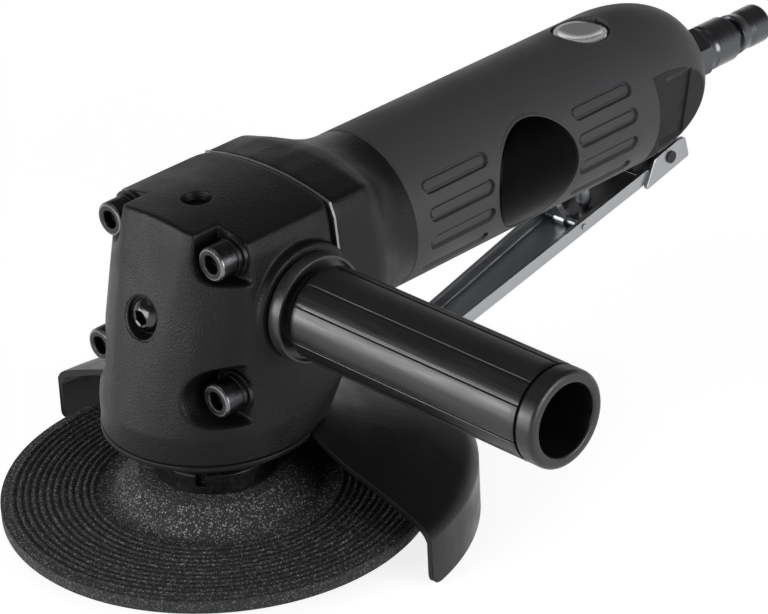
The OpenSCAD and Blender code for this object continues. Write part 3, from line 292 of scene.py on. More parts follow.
def softened(values, down, across):
    """Rounds the steps in a table of distances: each pass averages a point with the next ones,
    1 : 2 : 1, down the table or across it, where it closes in a ring."""
    for _ in range(down):
        pad = np.pad(values, ((1, 1), (0, 0)), mode="edge")
        values = (pad[:-2] + 2 * pad[1:-1] + pad[2:]) / 4
    for _ in range(across):
        pad = np.pad(values, ((0, 0), (1, 1)), mode="wrap")
        values = (pad[:, :-2] + 2 * pad[:, 1:-1] + pad[:, 2:]) / 4
    return values


def to_plane(gap, slope, least=1e-3):
    """How far rays run to a flat wall: the gap to it over the ray's slope towards it, or far off
    where that slope is under the least one."""
    return np.where(slope > least, gap / np.maximum(slope, least), FAR)


def to_round(a, b, c, sign):
    """How far rays run to a round wall: t in a t^2 + 2 b t + c = 0, by the root of the given
    sign."""
    return (-b + sign * np.sqrt(np.maximum(b * b - a * c, 0))) / np.maximum(a, TINY)


# Powder coat on cast aluminium: a satin black with the fine pebble of powder that ran together in
# the oven. The pebble is about 0.3 mm in life, and is drawn at 0.6 mm so that it shows.
cast_coat, *parts = new_finish("powder_coated_aluminium", "#0d0d0e", 0.0, 0.42,
                               Specular_IOR_Level=0.2)
grain(*parts, size=0.6, detail=2.5, depth=0.16, edge_r=0.5)
grain(*parts, size=14, detail=3, spread=(0.35, 0.65), gloss=(0.36, 0.48))

# The casting is worked out as rays from the spindle's axis: level ones up to the motor's height,
# and from there a fan that lifts to the top. Each ray has a start height oz, a direction dx, dy, dz
# and a length far, which every form of the casting makes longer or shorter. ady is its slope to
# either side.
side_z = np.linspace(HEAD_BASE, MOTOR_Z, 96)
lift = np.radians(np.linspace(0, 89.7, 112))[1:]
start_z = np.concatenate([side_z, np.full(len(lift), MOTOR_Z)])
tilt = np.concatenate([np.zeros(len(side_z)), lift])
turn = np.radians(np.linspace(0, 360, 440, endpoint=False))
far = softened(block_reach(start_z, tilt, turn), 1, 36)
dx = np.cos(turn)[None, :] * np.cos(tilt)[:, None]
dy = np.sin(turn)[None, :] * np.cos(tilt)[:, None]
dz = np.sin(tilt)[:, None] * np.ones_like(dx)
oz = start_z[:, None] * np.ones_like(dx)
ady = np.maximum(np.abs(dy), TINY)

# Crowned top: a cylinder along X cuts the block. Bosses: a ray may go on to a cylinder along Y, or
# to its flat end. Joint face: above the foot no ray passes it.
rise = oz - (HEAD_TOP - CROWN_R)
a, b, c = dy ** 2 + dz ** 2, rise * dz, rise ** 2 - CROWN_R ** 2
far = np.minimum(far, np.where(a > TINY, to_round(a, b, c, 1), FAR))
rise = oz - MOTOR_Z
a, b, c = dx ** 2 + dz ** 2, rise * dz - BOSS_X * dx, BOSS_X ** 2 + rise ** 2 - BOSS_R ** 2
leaves = np.where(b * b > a * c, to_round(a, b, c, 1), 0)
leaves = np.where((a < TINY) & (c < 0), FAR, leaves)
far = np.maximum(far, np.minimum(leaves, BOSS_Y / ady))
far = np.where(oz + far * dz > JOINT_LOW, np.minimum(far, to_plane(JOINT_X, dx)), far)

# Upper pockets: past the seat, the nose's cheek and the floor, which meet in a round corner.
floor_z, corner_y, corner_z = UPPER_SCREW[2] - POCKET_R, NOSE_HALF + POCKET_R, UPPER_SCREW[2]
square = np.maximum(NOSE_HALF / ady, to_plane(floor_z - oz, dz))
a, b = ady ** 2 + dz ** 2, (oz - corner_z) * dz - corner_y * ady
c = corner_y ** 2 + (oz - corner_z) ** 2 - POCKET_R ** 2
enters = np.where(b * b > a * c, to_round(a, b, c, -1), FAR)
in_corner = (square * ady < corner_y) & (oz + square * dz < corner_z)
walls = np.where(in_corner, np.maximum(enters, square), square)
far = np.minimum(far, np.maximum(to_plane(-UPPER_SCREW[0], -dx), walls))

# Lower scoops: round pockets along X about the lower screws.
half_w = np.sqrt(np.maximum(SCOOP_R ** 2 - (oz - LOWER_SCREW[2]) ** 2, 0))
scoop = np.maximum(to_plane(-LOWER_SCREW[0], -dx), (LOWER_SCREW[1] - half_w) / ady)
far = np.where((half_w > 0) & (dz < TINY), np.minimum(far, scoop), far)

# Recess for the front screw, and the hole over the grease plug, which only steep rays reach.
seat = to_plane(-BUTTON_SEAT, -dx)
miss = np.hypot(seat * dy, oz + seat * dz - BUTTON_Z)
far = softened(far, 2, 2)
cut = np.clip((BUTTON_RECESS_R - miss) / RECESS_BLUR + 0.5, 0, 1) * (dx < 0)
far = np.where((cut > 0) & (seat < far), far + (seat - far) * cut, far)
hole = to_plane(GREASE_FLOOR - oz, dz, 0.5)
far = np.where(hole * np.hypot(dx, dy) < GREASE_HOLE_R, np.minimum(far, hole), far)
head = np.stack([far * dx, far * dy, oz + far * dz], -1)

# Blind hole in the far boss: the points of its flat end inside the hole go straight to its floor.
bored = np.hypot(head[..., 0] - BOSS_X, head[..., 2] - MOTOR_Z) < THREAD_R + 0.5
bored &= head[..., 1] > BOSS_Y - 0.5
head[bored, 1] = BOSS_Y - THREAD_DEPTH
foot = head[:1] * [0.99, 0.99, 1]
head = np.concatenate([foot * [0, 0, 1], foot, head, head[-1:] * [0, 0, 1]])
skin("gear_head_casting", [head], cast_coat, "housing", ["gear_head"], crease=50)

# Recess rim: a fine rolled edge, each ring of it so much wider than the recess and so far sunk.
rim_turn = np.linspace(0, 2 * np.pi, 96, endpoint=False)
rows = []
for wider, sunk in RECESS_RIM:
    ring_r = BUTTON_RECESS_R + wider
    y, z = ring_r * np.cos(rim_turn), BUTTON_Z + ring_r * np.sin(rim_turn)
    rows.append(np.column_stack([np.maximum(nose_face(z) + sunk, NOSE_LIMIT), y, z]))
skin("button_recess_rim", [np.stack(rows)], cast_coat, "housing", crease=50)
coat(cast_coat, "bearing_cap")


# Motor housing: an aluminium casting whose joint block draws in with a hollow fillet to the tube
# under the grip. Its bore takes the motor, small holes below let the air out, and a lug at the rear
# carries the lever's pin.
HOUSING_X, GRIP_X, NECK_R = 26.85, 60.1, 24.55
BLOCK_DRAW = ((26, 40, 44, 47.5, 51.5, 55.5, GRIP_X), (0, 0, 0.2, 0.55, 0.83, 0.96, 1))
BORE_R, BORE_END, TUBE_R, TUBE_END, CORE_R, CORE_END = 21.35, 122.4, 23.0, 163.0, 15.5, 192.0
EXHAUST_HOLES, EXHAUST_R, EXHAUST_DEPTH = ((51, -7), (48, 0), (51, 7)), 2.2, 3
VALVE_X, PLUG_HOLE_R, PLUG_HOLE_FLOOR = 156.0, 9.1, 19
LUG_HALF, LUG_R, LUG_TOP, PIVOT_X, PIVOT_Z = 9.1, 4.2, 14, 184.3, 42.2
LUG_WEB_HALF, LUG_FRONT, LUG_FRONT_R, LUG_EDGE = 7.9, 14.0, 3.0, 0.4
HOUSING_STEPS = 320

around = np.linspace(-np.pi, np.pi, HOUSING_STEPS, endpoint=False)
outline = joint_outline(960)
outline_turn = np.arctan2(outline[:, 1] - MOTOR_Z, outline[:, 0])
order = np.argsort(outline_turn)
outline_r = np.hypot(outline[:, 0], outline[:, 1] - MOTOR_Z)
rim = np.interp(around, outline_turn[order], outline_r[order], period=2 * np.pi)
rim = softened(rim[None, :], 0, 3)

# The block's radius goes from the joint outline to the neck's circle by a share that grows with x.
block_x = np.concatenate(
    [[HOUSING_X, HOUSING_X + 0.25, HOUSING_X + 0.6], np.linspace(29, GRIP_X, 80)])
drawn_in = softened(np.interp(block_x, *BLOCK_DRAW)[:, None], 14, 0)
block_r = rim * (1 - drawn_in) + NECK_R * drawn_in
block_r[0] -= 0.3
block_r[1] -= 0.08
across = block_r * np.cos(around)
for hole_x, hole_y in EXHAUST_HOLES:
    inside = np.hypot(block_x[:, None] - hole_x, across - hole_y) < EXHAUST_R
    block_r = np.where(inside & (np.sin(around) < 0), block_r - EXHAUST_DEPTH, block_r)
tube_x = np.concatenate([[GRIP_X], np.arange(146, 162.9, 0.9), [TUBE_END]])
tube_r = np.full((len(tube_x), HOUSING_STEPS), TUBE_R)
near_plug = np.hypot(tube_x[:, None] - VALVE_X, TUBE_R * np.cos(around)) < PLUG_HOLE_R
tube_r[near_plug & (np.sin(around) > 0)] = PLUG_HOLE_FLOOR
before = [(BORE_END, 0.0), (BORE_END, BORE_R), (HOUSING_X, BORE_R)]
after = [(TUBE_END, CORE_R), (CORE_END, CORE_R), (CORE_END, 0.0)]
all_x = np.concatenate([[x for x, r in before], block_x, tube_x, [x for x, r in after]])
all_r = np.vstack([np.full((1, HOUSING_STEPS), r) for x, r in before] + [block_r, tube_r]
                  + [np.full((1, HOUSING_STEPS), r) for x, r in after])
housing = np.stack([all_x[:, None] * np.ones_like(all_r), all_r * np.cos(around),
                    MOTOR_Z + all_r * np.sin(around)], -1)
skin("motor_housing_casting", [housing], cast_coat, "housing", ["motor_housing"],
     crease=40)

# The lug is an outline round the pivot, carried across in y: a round one, and a longer thin web.
down = np.radians(np.linspace(0, -180, 17))
down = np.column_stack([np.cos(down), np.sin(down)])
web_r = LUG_R - LUG_EDGE
round_lug = np.vstack([[[LUG_R, LUG_TOP]], LUG_R * down, [[-LUG_R, LUG_TOP]]])
web = np.vstack([[[web_r, LUG_TOP]], web_r * down[:9],
                 LUG_FRONT_R * down[8:] - [LUG_FRONT - LUG_FRONT_R, 0], [[-LUG_FRONT, LUG_TOP]]])
lugs = []
for line, half_y in ((round_lug, LUG_HALF), (web, LUG_WEB_HALF)):
    face_y = half_y - LUG_EDGE
    lug_y = np.array([-half_y, -half_y, -face_y, face_y, half_y, half_y])
    lug_size = np.array([0, 0.94, 1, 1, 0.94, 0])[:, None]
    middle = line.mean(0)
    lugs.append(np.stack([
        PIVOT_X + middle[0] + (line[:, 0] - middle[0]) * lug_size,
        lug_y[:, None] * np.ones(len(line)),
        PIVOT_Z + middle[1] + (line[:, 1] - middle[1]) * lug_size], -1))
skin("lever_lug", lugs, cast_coat, "housing", crease=40)


# Joint gasket: a thin bare aluminium shim, rolled and punched, clamped between the two castings. It
# shows as a bright line round the joint, streaked across by the rolling mill.
shim, *parts = new_finish("rolled_aluminium_shim", "#85878a", 1.0, 0.5)
grain(*parts, size=3, detail=2, stretch=(20, 1, 1), gloss=(0.4, 0.6))
coat(shim, "head_gasket")


# Socket head screws: forged alloy steel with a blackened skin, with a painted highlight of bright
# steel on the turned rim of each head. Four clamp the head to the motor on flat and split washers,
# and one with a low dome closes the nose.
HEAD_R, HEAD_H, SHANK_R, SCREW_END = 5.0, 6.0, 3.0, 39.85
WASHER_T, SPLIT_T, SCREW_STEPS = 1.2, 1.5, 96
BUTTON_R, BUTTON_H, BUTTON_SOCKET_R = 5.2, 3.2, 2.0


def turned(profile, steps, origin, axis, flats=(), sides=6):
    """A turned form about an axis: each (r, h) of the profile is a ring of that radius at that
    height. Rows listed in flats are polygons of half width r instead: r over the cosine of the turn
    from the middle of the nearest side."""
    profile = np.asarray(profile, float)
    angle = np.linspace(0, 2 * np.pi, steps, endpoint=False)
    wedge = np.pi / sides
    swell = np.ones((len(profile), steps))
    swell[list(flats)] = 1 / np.cos((angle + wedge) % (2 * wedge) - wedge)
    r = profile[:, :1] * swell
    w = np.array(Vector(axis).normalized())
    u = np.cross(w, (0, 0, 1)) if abs(w[2]) < 0.5 else np.array((1.0, 0, 0))
    v = np.cross(w, u)
    ring = np.cos(angle)[:, None] * u + np.sin(angle)[:, None] * v
    return np.array(origin) + r[..., None] * ring[None] + profile[:, 1][:, None, None] * w


# Black oxide: a thin dark skin grown on the steel in a hot bath, patchy in its gloss.
black_oxide, *parts = new_finish("blackened_steel", "#3a3a3c", 1.0, 0.32)
grain(*parts, size=1.5, detail=3, spread=(0.3, 0.75), gloss=(0.26, 0.46), edge_r=0.25)

# Painted highlight: bright steel laid on the turned rim of each head's face, where it catches the
# light.
painted_highlight_steel, *parts = new_finish("painted_rim_highlight_steel", "#77787a", 1.0, 0.28)
grain(*parts, size=0.5, detail=2, gloss=(0.2, 0.4))

screws, fronts = [], []
for seat_x, y, z in (UPPER_SCREW, LOWER_SCREW):
    front = seat_x - WASHER_T - SPLIT_T - HEAD_H
    profile = [
        (0, SCREW_END - front), (SHANK_R, SCREW_END - front), (SHANK_R, HEAD_H),
        (HEAD_R - 0.2, HEAD_H), (HEAD_R, HEAD_H - 0.2), (HEAD_R, 0.75), (HEAD_R - 0.2, 0.3),
        (HEAD_R - 0.55, 0.03), (HEAD_R - 0.9, 0.0), (2.95, 0.0), (2.6, 0.3), (2.5, 0.5),
        (2.5, 3.0), (0, 3.4)]
    for s in (-1, 1):
        fronts.append((front, s * y, z))
        screws.append(turned(profile, SCREW_STEPS, fronts[-1], (1, 0, 0), flats=(11, 12)))
heads = skin("joint_screws", screws, black_oxide, "housing", ["head_cap_screws"],
             crease=30)
heads.data.materials.append(painted_highlight_steel)
centres = np.array([p.center for p in heads.data.polygons]) / MM
apart = centres[:, None] - np.array(fronts)[None]
from_axis = np.hypot(apart[..., 1], apart[..., 2])
# Painted highlight: the faces on each head's rim take the bright steel.
rim_highlight_faces = (np.abs(apart[..., 0] - 0.25) < 0.35) & (np.abs(from_axis - 4.55) < 0.65)
heads.data.polygons.foreach_set("material_index", rim_highlight_faces.any(1).astype(np.int32))

# The nose screw's dome is part of a ball, whose radius follows from the head's width and height.
ball = (BUTTON_R ** 2 + BUTTON_H ** 2) / (2 * BUTTON_H)
rings = np.linspace(2.6, BUTTON_R, 14)
dome = np.column_stack([rings, ball - BUTTON_H - np.sqrt(ball ** 2 - rings ** 2)])
profile = np.vstack([
    [(0, 0.2), (BUTTON_SOCKET_R, 0.0), (BUTTON_SOCKET_R, dome[0, 1] + 0.3)], dome,
    [(BUTTON_R, 0.0), (SHANK_R, 0.0), (SHANK_R, 6), (0, 6)]])
button = turned(profile, SCREW_STEPS, (BUTTON_SEAT, 0, BUTTON_Z), (1, 0, 0), flats=(1, 2))
polished_black, *parts = new_finish("polished_blackened_steel", "#4a4a4c", 1.0, 0.16)
grain(*parts, size=1.2, detail=3, spread=(0.3, 0.75), gloss=(0.1, 0.26))
skin("nose_screw", [button], polished_black, "housing", ["front_button_screw"],
     crease=30)
coat(black_oxide, "head_spring_washers", "head_washers", "bearing_cap_screws", "grease_plug",
     "lever_pin", "gear_retaining_ring")


# Far boss thread: an M10 thread cut straight into the aluminium after the paint, for the handle in
# the left hand. Its crests are bare metal and its mouth is countersunk. They are drawn as rings of
# the thread's pitch.
bare, *parts = new_finish("machined_aluminium", "#9c9ea1", 1.0, 0.3)
grain(*parts, size=0.6, detail=2, gloss=(0.24, 0.4))
crests = np.arange(1.8 - THREAD_DEPTH, -1.6, THREAD_PITCH)
screwed = np.column_stack([crests, crests + THREAD_PITCH / 2]).ravel()
screwed = np.column_stack([np.tile([THREAD_R - 0.6, THREAD_R - 0.05], len(crests)), screwed])
profile = np.vstack([
    [(0, -THREAD_DEPTH), (THREAD_R - 0.1, 0.4 - THREAD_DEPTH)], screwed,
    [(THREAD_R, -0.7), (THREAD_R + 0.65, 0.02), (THREAD_R + 1.1, 0.05), (THREAD_R + 1.2, -0.1),
     (THREAD_R + 1.2, -2), (THREAD_R + 0.6, -2), (THREAD_R + 0.6, -0.5 - THREAD_DEPTH),
     (0, -0.5 - THREAD_DEPTH)]])
thread = turned(profile, 96, (BOSS_X, BOSS_Y, MOTOR_Z), (0, 1, 0))
skin("far_boss_thread", [thread], bare, "housing", crease=30)


# Grip: a moulded composite sleeve pushed over the tube, matt with a fine grain. Each side has eight
# finger slots and the seat of a round badge, and the rear end is domed, with a flat pad on each
# side.
GRIP_R, DOME_X, DOME_R, GRIP_END = 24.7, 168.0, 11.6, 196.3
SLOT_DEPTH, SLOT_W = 0.75, 4.8
MOAT_DEPTH, MOAT_HALF = 0.5, 0.42
SLOT_ANGLES = (29.5, 9.5, -12.0, -34.0)
SLOT_SPANS = ((66.0, 92.4), (128.9, 154.5))
BADGE_X, BADGE_Z, BADGE_R, BADGE_FLOOR = 110.7, 67.6, 17.0, 23.7
PAD_X, PAD_TILT, PAD_DIST = 164.0, math.radians(10), 19.4
PAD_RECESS, PAD_RECESS_HALF, PAD_RECESS_DEPTH = (171.5, 182.5), 11.5, 0.6
VALVE_HOLE_FLOOR, STEM_HOLE_R, STEM_HOLE_FLOOR, LUG_FLOOR = 20.2, 4.9, 23.2, 16.2
SLEEVE_R, SLEEVE_END, REAR_R, REAR_X, INLET_R, INLET_Z = 23.05, 163.1, 15.55, 192.1, 8.6, 66.0

# Glass filled polyamide, moulded with a spark eroded texture. Its grain is about 0.2 mm in life,
# and is drawn at 0.6 mm so that it shows.
grip_coat, *parts = new_finish("moulded_grip_composite", "#434345", 0.0, 0.5,
                               Specular_IOR_Level=0.22)
grain(*parts, size=0.6, detail=2, depth=0.1, edge_r=0.12)
grain(*parts, size=18, detail=3, spread=(0.35, 0.65), gloss=(0.46, 0.58))

# Rows along the grip, closer together where a slot, a badge seat, a hole or a pad begins and ends.
fine_x = [np.arange(x0 - 0.5, x0 + SLOT_W / 2 + 0.3, 0.22) for x0, x1 in SLOT_SPANS]
fine_x += [np.arange(x1 - SLOT_W / 2 - 0.3, x1 + 0.5, 0.22) for x0, x1 in SLOT_SPANS]
fine_x += [BADGE_X + s * np.linspace(BADGE_R - 2, BADGE_R + 0.5, 7) for s in (-1, 1)]
fine_x += [np.arange(92.8, 128.6, 0.9), np.arange(146, DOME_X, 0.9), [163.9, 164.1]]
body_x = np.concatenate([[60.1, 60.3, 60.6], np.arange(61.2, DOME_X, 2.4)] + fine_x)
body_x = np.unique(np.round(body_x, 2))
pad_ends = np.array([x + s * 0.22 for x in PAD_RECESS for s in (-1, 1)])
swing = np.concatenate([np.radians(np.linspace(90, 0, 44))[1:],
                        np.arccos((pad_ends - DOME_X) / (GRIP_END - DOME_X))])
swing = np.sort(swing)[::-1]
outer_x = np.concatenate([body_x, DOME_X + (GRIP_END - DOME_X) * np.cos(swing)])
outer_r = np.concatenate(
    [np.full(len(body_x), GRIP_R), DOME_R + (GRIP_R - DOME_R) * np.sin(swing)])
outer_r[:2] -= (0.3, 0.08)

# Columns round the grip, in degrees, closer together in the slots' walls and over the valve.
slot_half = math.degrees(SLOT_W / 2 / GRIP_R)
wall_steps = slot_half + np.array([-2.1, -1.75, -1.3, -0.85, -0.4, 0.15, 0.6])
walls = [a + s * wall_steps for a in SLOT_ANGLES for s in (-1, 1)]
fan = np.concatenate(
    [np.arange(-48, 46, 2.0)] + [a + np.arange(-5, 5.1, 0.75) for a in SLOT_ANGLES] + walls)
fan = np.concatenate([fan, 180 - fan, np.arange(46, 66, 3), np.arange(114, 134, 3),
                      np.arange(66, 114, 0.9), np.arange(-132, -48, 2.2)])
fan = np.unique(np.round(fan % 360, 2))
grip_turn = np.radians(fan[np.concatenate([[True], np.diff(fan) > 0.18])])
cos_t, sin_t = np.cos(grip_turn), np.sin(grip_turn)
climb = np.arctan2(sin_t, np.abs(cos_t))
r = outer_r[:, None] * np.ones(len(grip_turn))
x = outer_x[:, None] * np.ones(len(grip_turn))

# Slots: away is how far a point lies outside a slot's rounded outline. The floor is sunk inside it,
# and a finer groove, the moat, runs round just within the edge.
for a in SLOT_ANGLES:
    for x0, x1 in SLOT_SPANS:
        past = np.maximum(np.maximum(x0 + SLOT_W / 2 - x, x - x1 + SLOT_W / 2), 0)
        away = np.hypot(past, (climb - math.radians(a)) * GRIP_R) - SLOT_W / 2
        moat = np.clip((MOAT_HALF - np.abs(away + 0.5)) / 0.2 + 0.5, 0, 1)
        r = r - SLOT_DEPTH * np.clip(0.5 - away / 0.25, 0, 1) - MOAT_DEPTH * moat
away = np.hypot(x - BADGE_X, MOTOR_Z + GRIP_R * sin_t - BADGE_Z) - BADGE_R - 0.2
r = r - (GRIP_R - BADGE_FLOOR) * np.clip(0.5 - away / 0.3, 0, 1)

# Pads: a flat plane cuts the side of the dome, with a shallow field sunk into it.
lean = np.maximum(np.cos(climb + PAD_TILT), 0.2)
flat = PAD_DIST / lean
along_pad = flat * np.sin(climb + PAD_TILT)
inset = np.minimum(np.minimum(x - PAD_RECESS[0], PAD_RECESS[1] - x),
                   PAD_RECESS_HALF - np.abs(along_pad))
sunk = flat - PAD_RECESS_DEPTH * np.clip(inset / 0.4 + 0.5, 0, 1) / lean
r = np.where((x > PAD_X) & (flat < r + 1), np.minimum(r, sunk), r)

# Holes: over the valve's plug, under its stem, and round the housing's lug.
above_axis, off_valve = sin_t > 0, np.hypot(x - VALVE_X, GRIP_R * cos_t)
r = np.where((off_valve < PLUG_HOLE_R) & above_axis, VALVE_HOLE_FLOOR, r)
r = np.where((off_valve < STEM_HOLE_R) & ~above_axis, STEM_HOLE_FLOOR, r)
near_lug = (np.abs(x - PIVOT_X) < LUG_R + 0.5) & (np.abs(r * cos_t) < LUG_HALF + 0.3)
near_lug |= ((x > PIVOT_X - LUG_FRONT - 0.5) & (x < PIVOT_X)
             & (np.abs(r * cos_t) < LUG_WEB_HALF + 0.3))
r = np.where(near_lug & ~above_axis, np.minimum(r, LUG_FLOOR), r)
outer = np.stack([x, r * cos_t, MOTOR_Z + r * sin_t], -1)

# Inside: the bore over the tube, then steps in to the inlet's hole.
bore_x = np.concatenate([[GRIP_X], np.arange(146, 163, 0.9), [SLEEVE_END]])
bore_r = np.full((len(bore_x), len(grip_turn)), SLEEVE_R)
near_plug = np.hypot(bore_x[:, None] - VALVE_X, SLEEVE_R * cos_t) < PLUG_HOLE_R
bore_r[near_plug & above_axis] = VALVE_HOLE_FLOOR - 0.3
bore = np.stack([bore_x[:, None] * np.ones_like(bore_r), bore_r * cos_t,
                 MOTOR_Z + bore_r * sin_t], -1)
steps = [(SLEEVE_END, REAR_R, MOTOR_Z), (REAR_X, REAR_R, MOTOR_Z), (REAR_X, INLET_R, INLET_Z),
         (GRIP_END, INLET_R, INLET_Z)]
steps = np.stack([np.stack([np.full(len(grip_turn), step_x), step_r * cos_t,
                            step_z + step_r * sin_t], -1) for step_x, step_r, step_z in steps])
grip = np.concatenate([outer, steps[::-1], bore[::-1], outer[:1]])
sleeve = skin("grip_sleeve_moulding", [grip], grip_coat, "housing",
              ["grip_sleeve"], crease=38)

# The flat pads come off polished steel in the mould, so they are smoother; their colour is also
# painted darker than the grained skin, standing in for the shade on the flats.
pad_coat_with_painted_shade, *parts = new_finish("smooth_composite_painted_shade", "#161618", 0.0, 0.4,
                              Specular_IOR_Level=0.15)
grain(*parts, size=4, detail=3, gloss=(0.34, 0.48))
# Painted shade: the pads take a darker copy of the grip's composite.
sleeve.data.materials.append(pad_coat_with_painted_shade)
centres = np.array([p.center for p in sleeve.data.polygons]) / MM
rise = np.arctan2(centres[:, 2] - MOTOR_Z, np.abs(centres[:, 1])) + PAD_TILT
depth = np.hypot(centres[:, 1], centres[:, 2] - MOTOR_Z) * np.cos(rise)
on_pad = (centres[:, 0] > PAD_X) & (np.abs(depth - PAD_DIST) < 0.03)
on_pad |= (
    (centres[:, 0] > PAD_RECESS[0] - 0.5) & (centres[:, 0] < PAD_RECESS[1] + 0.5)
    & (np.abs(depth - PAD_DIST + 0.3) < 0.35)
    & (np.abs(depth * np.tan(rise)) < PAD_RECESS_HALF + 0.4))
sleeve.data.polygons.foreach_set("material_index", on_pad.astype(np.int32))

# A low bead runs round each badge seat and round the valve's hole, where the mould's inserts met
# the sleeve. Its section is bent round the hole and wrapped on the sleeve's cylinder.
bead = np.array([(0, -0.4), (0, 0.04), (0.12, 0.13), (0.42, 0.15), (0.75, 0.08), (1.0, -0.04),
                 (1.0, -0.4), (0, -0.4)])
around = np.linspace(0, 2 * np.pi, 192, endpoint=False)
bead_r, bead_h = BADGE_R - 0.02 + bead[:, :1], GRIP_R + bead[:, 1:]
seat_x, seat_z = BADGE_X + bead_r * np.cos(around), BADGE_Z + bead_r * np.sin(around)
seat_y = np.sqrt(bead_h ** 2 - (seat_z - MOTOR_Z) ** 2)
beads = [np.stack([seat_x, s * seat_y, seat_z], -1) for s in (-1, 1)]
bead_r = PLUG_HOLE_R - 0.12 + bead[:, :1]
hole_x, hole_y = VALVE_X + bead_r * np.cos(around), bead_r * np.sin(around)
beads.append(np.stack([hole_x, hole_y, MOTOR_Z + np.sqrt(bead_h ** 2 - hole_y ** 2)], -1))
skin("grip_beads", beads, grip_coat, "housing", crease=50)


# Side badges: a plain domed disc of lacquered black plastic pressed into each seat of the grip. Its
# face follows the grip's curve and rolls down at the rim.
BADGE_TOP, BADGE_ROLL, BADGE_DROP = 24.88, 1.2, 0.38

badge_gloss, *parts = new_finish("lacquered_black_plastic", "#030303", 0.0, 0.2,
                                 Specular_IOR_Level=0.03)
grain(*parts, size=9, detail=3, spread=(0.35, 0.7), gloss=(0.2, 0.32))
around = np.linspace(0, 2 * np.pi, 128, endpoint=False)
roll = np.radians(np.linspace(15, 90, 6))
spread = np.concatenate([np.linspace(0, BADGE_R - BADGE_ROLL, 26),
                         BADGE_R - BADGE_ROLL + BADGE_ROLL * np.sin(roll), [BADGE_R, 12, 0]])
height = np.concatenate([np.full(26, BADGE_TOP), BADGE_TOP - BADGE_DROP + BADGE_DROP * np.cos(roll),
                         np.full(3, BADGE_FLOOR + 0.02)])
disc_x = BADGE_X + spread[:, None] * np.cos(around)
disc_z = BADGE_Z + spread[:, None] * np.sin(around)
disc_y = np.sqrt(height[:, None] ** 2 - (disc_z - MOTOR_Z) ** 2)
discs = [np.stack([disc_x, s * disc_y, disc_z], -1) for s in (-1, 1)]
skin("badge_discs", discs, badge_gloss, "housing", ["side_badges"], crease=40)


# Side handle: a glass filled nylon tube, open at its end, with wide and narrow lands round it
# between fine grooves. It is screwed on a plated stud against a collar with a thin lip, so a dark
# gap shows between them.
HANDLE_R, HANDLE_BORE_R, HANDLE_Y, HANDLE_END = 13.9, 10.3, 34.92, 127.0
LANDS, LAND_START, LAND_NARROW = 5, math.radians(3.5), 0.375
GROOVE_DEPTH, GROOVE_HALF, RING_W, END_GROOVE = 0.6, 0.34, 5.4, 0.9
STUD_HOLE_R, STUD_HOLE_END, LIP_R, BORE_LIP_R = 5.0, 16, 1.6, 0.8
COLLAR_R, COLLAR_T, COLLAR_LIP, COLLAR_RECESS = 15.8, 4.6, 0.9, 1.6

handle_coat, *parts = new_finish("glass_filled_nylon", "#141416", 0.0, 0.34)
grain(*parts, size=0.5, detail=2, depth=0.02)
grain(*parts, size=1.2, detail=2, stretch=(1, 0.05, 1), gloss=(0.27, 0.42))

rim_y = HANDLE_END - RING_W
stud_y = HANDLE_Y + STUD_HOLE_END
lip = np.radians(np.linspace(0, 90, 6))
profile = np.array(
    [(STUD_HOLE_R, stud_y), (STUD_HOLE_R, HANDLE_Y), (HANDLE_R - 2.4, HANDLE_Y),
     (HANDLE_R - 2.4, HANDLE_Y + 2), (HANDLE_R - 0.9, HANDLE_Y + 2.1),
     (HANDLE_R - 0.2, HANDLE_Y + 2.6), (HANDLE_R, HANDLE_Y + 3.3),
     (HANDLE_R, HANDLE_Y + 4.4), (HANDLE_R, HANDLE_Y + 5.2)]
    + [(HANDLE_R, y) for y in np.linspace(HANDLE_Y + 12, rim_y - 3, 12)]
    + [(HANDLE_R, rim_y - END_GROOVE - 0.3), (HANDLE_R - 0.15, rim_y - END_GROOVE),
       (HANDLE_R - 0.9, rim_y - END_GROOVE), (HANDLE_R - 0.9, rim_y), (HANDLE_R - 0.25, rim_y),
       (HANDLE_R - 0.05, rim_y + 0.25)]
    + [(HANDLE_R - 0.05 - LIP_R + LIP_R * c, HANDLE_END - LIP_R + LIP_R * s)
       for c, s in zip(np.cos(lip), np.sin(lip))]
    + [(HANDLE_BORE_R + BORE_LIP_R - BORE_LIP_R * s, HANDLE_END - BORE_LIP_R + BORE_LIP_R * c)
       for c, s in zip(np.cos(lip), np.sin(lip))]
    + [(HANDLE_BORE_R, stud_y), (STUD_HOLE_R, stud_y)])

# Lands: a seam lies at each end of a land, and the radius dips there over the groove's half width,
# with a shallower slope beside it.
pitch = 2 * np.pi / LANDS
seams = np.concatenate(
    [LAND_START + pitch * (np.arange(LANDS) + share) for share in (0, 1 - LAND_NARROW)])
steps = np.array([-0.045, -0.033, -0.0275, -0.0215, 0.0215, 0.0275, 0.033, 0.045])
angle = np.concatenate(
    [np.linspace(0, 2 * np.pi, 240, endpoint=False), (seams[:, None] + steps).ravel()])
angle = np.unique(np.round(angle % (2 * np.pi), 5))
apart = np.abs((angle[:, None] - seams + np.pi) % (2 * np.pi) - np.pi).min(1) * HANDLE_R
land_r = HANDLE_R - GROOVE_DEPTH * np.clip((GROOVE_HALF - apart) / 0.1 + 0.5, 0, 1)
land_r -= 0.1 * np.clip(1 - (apart - GROOVE_HALF) / 0.25, 0, 1) * (apart > GROOVE_HALF)
r = profile[:, :1] * np.ones(len(angle))
on_lands = (profile[:, 1] > HANDLE_Y + 4.2) & (profile[:, 1] < rim_y)
r[(profile[:, 0] == HANDLE_R) & on_lands] = land_r
tube = np.stack([BOSS_X + r * np.cos(angle), -profile[:, 1:] * np.ones(len(angle)),
                 MOTOR_Z + r * np.sin(angle)], -1)
skin("handle_tube", [tube], handle_coat, "housing", ["side_handle"], crease=30)

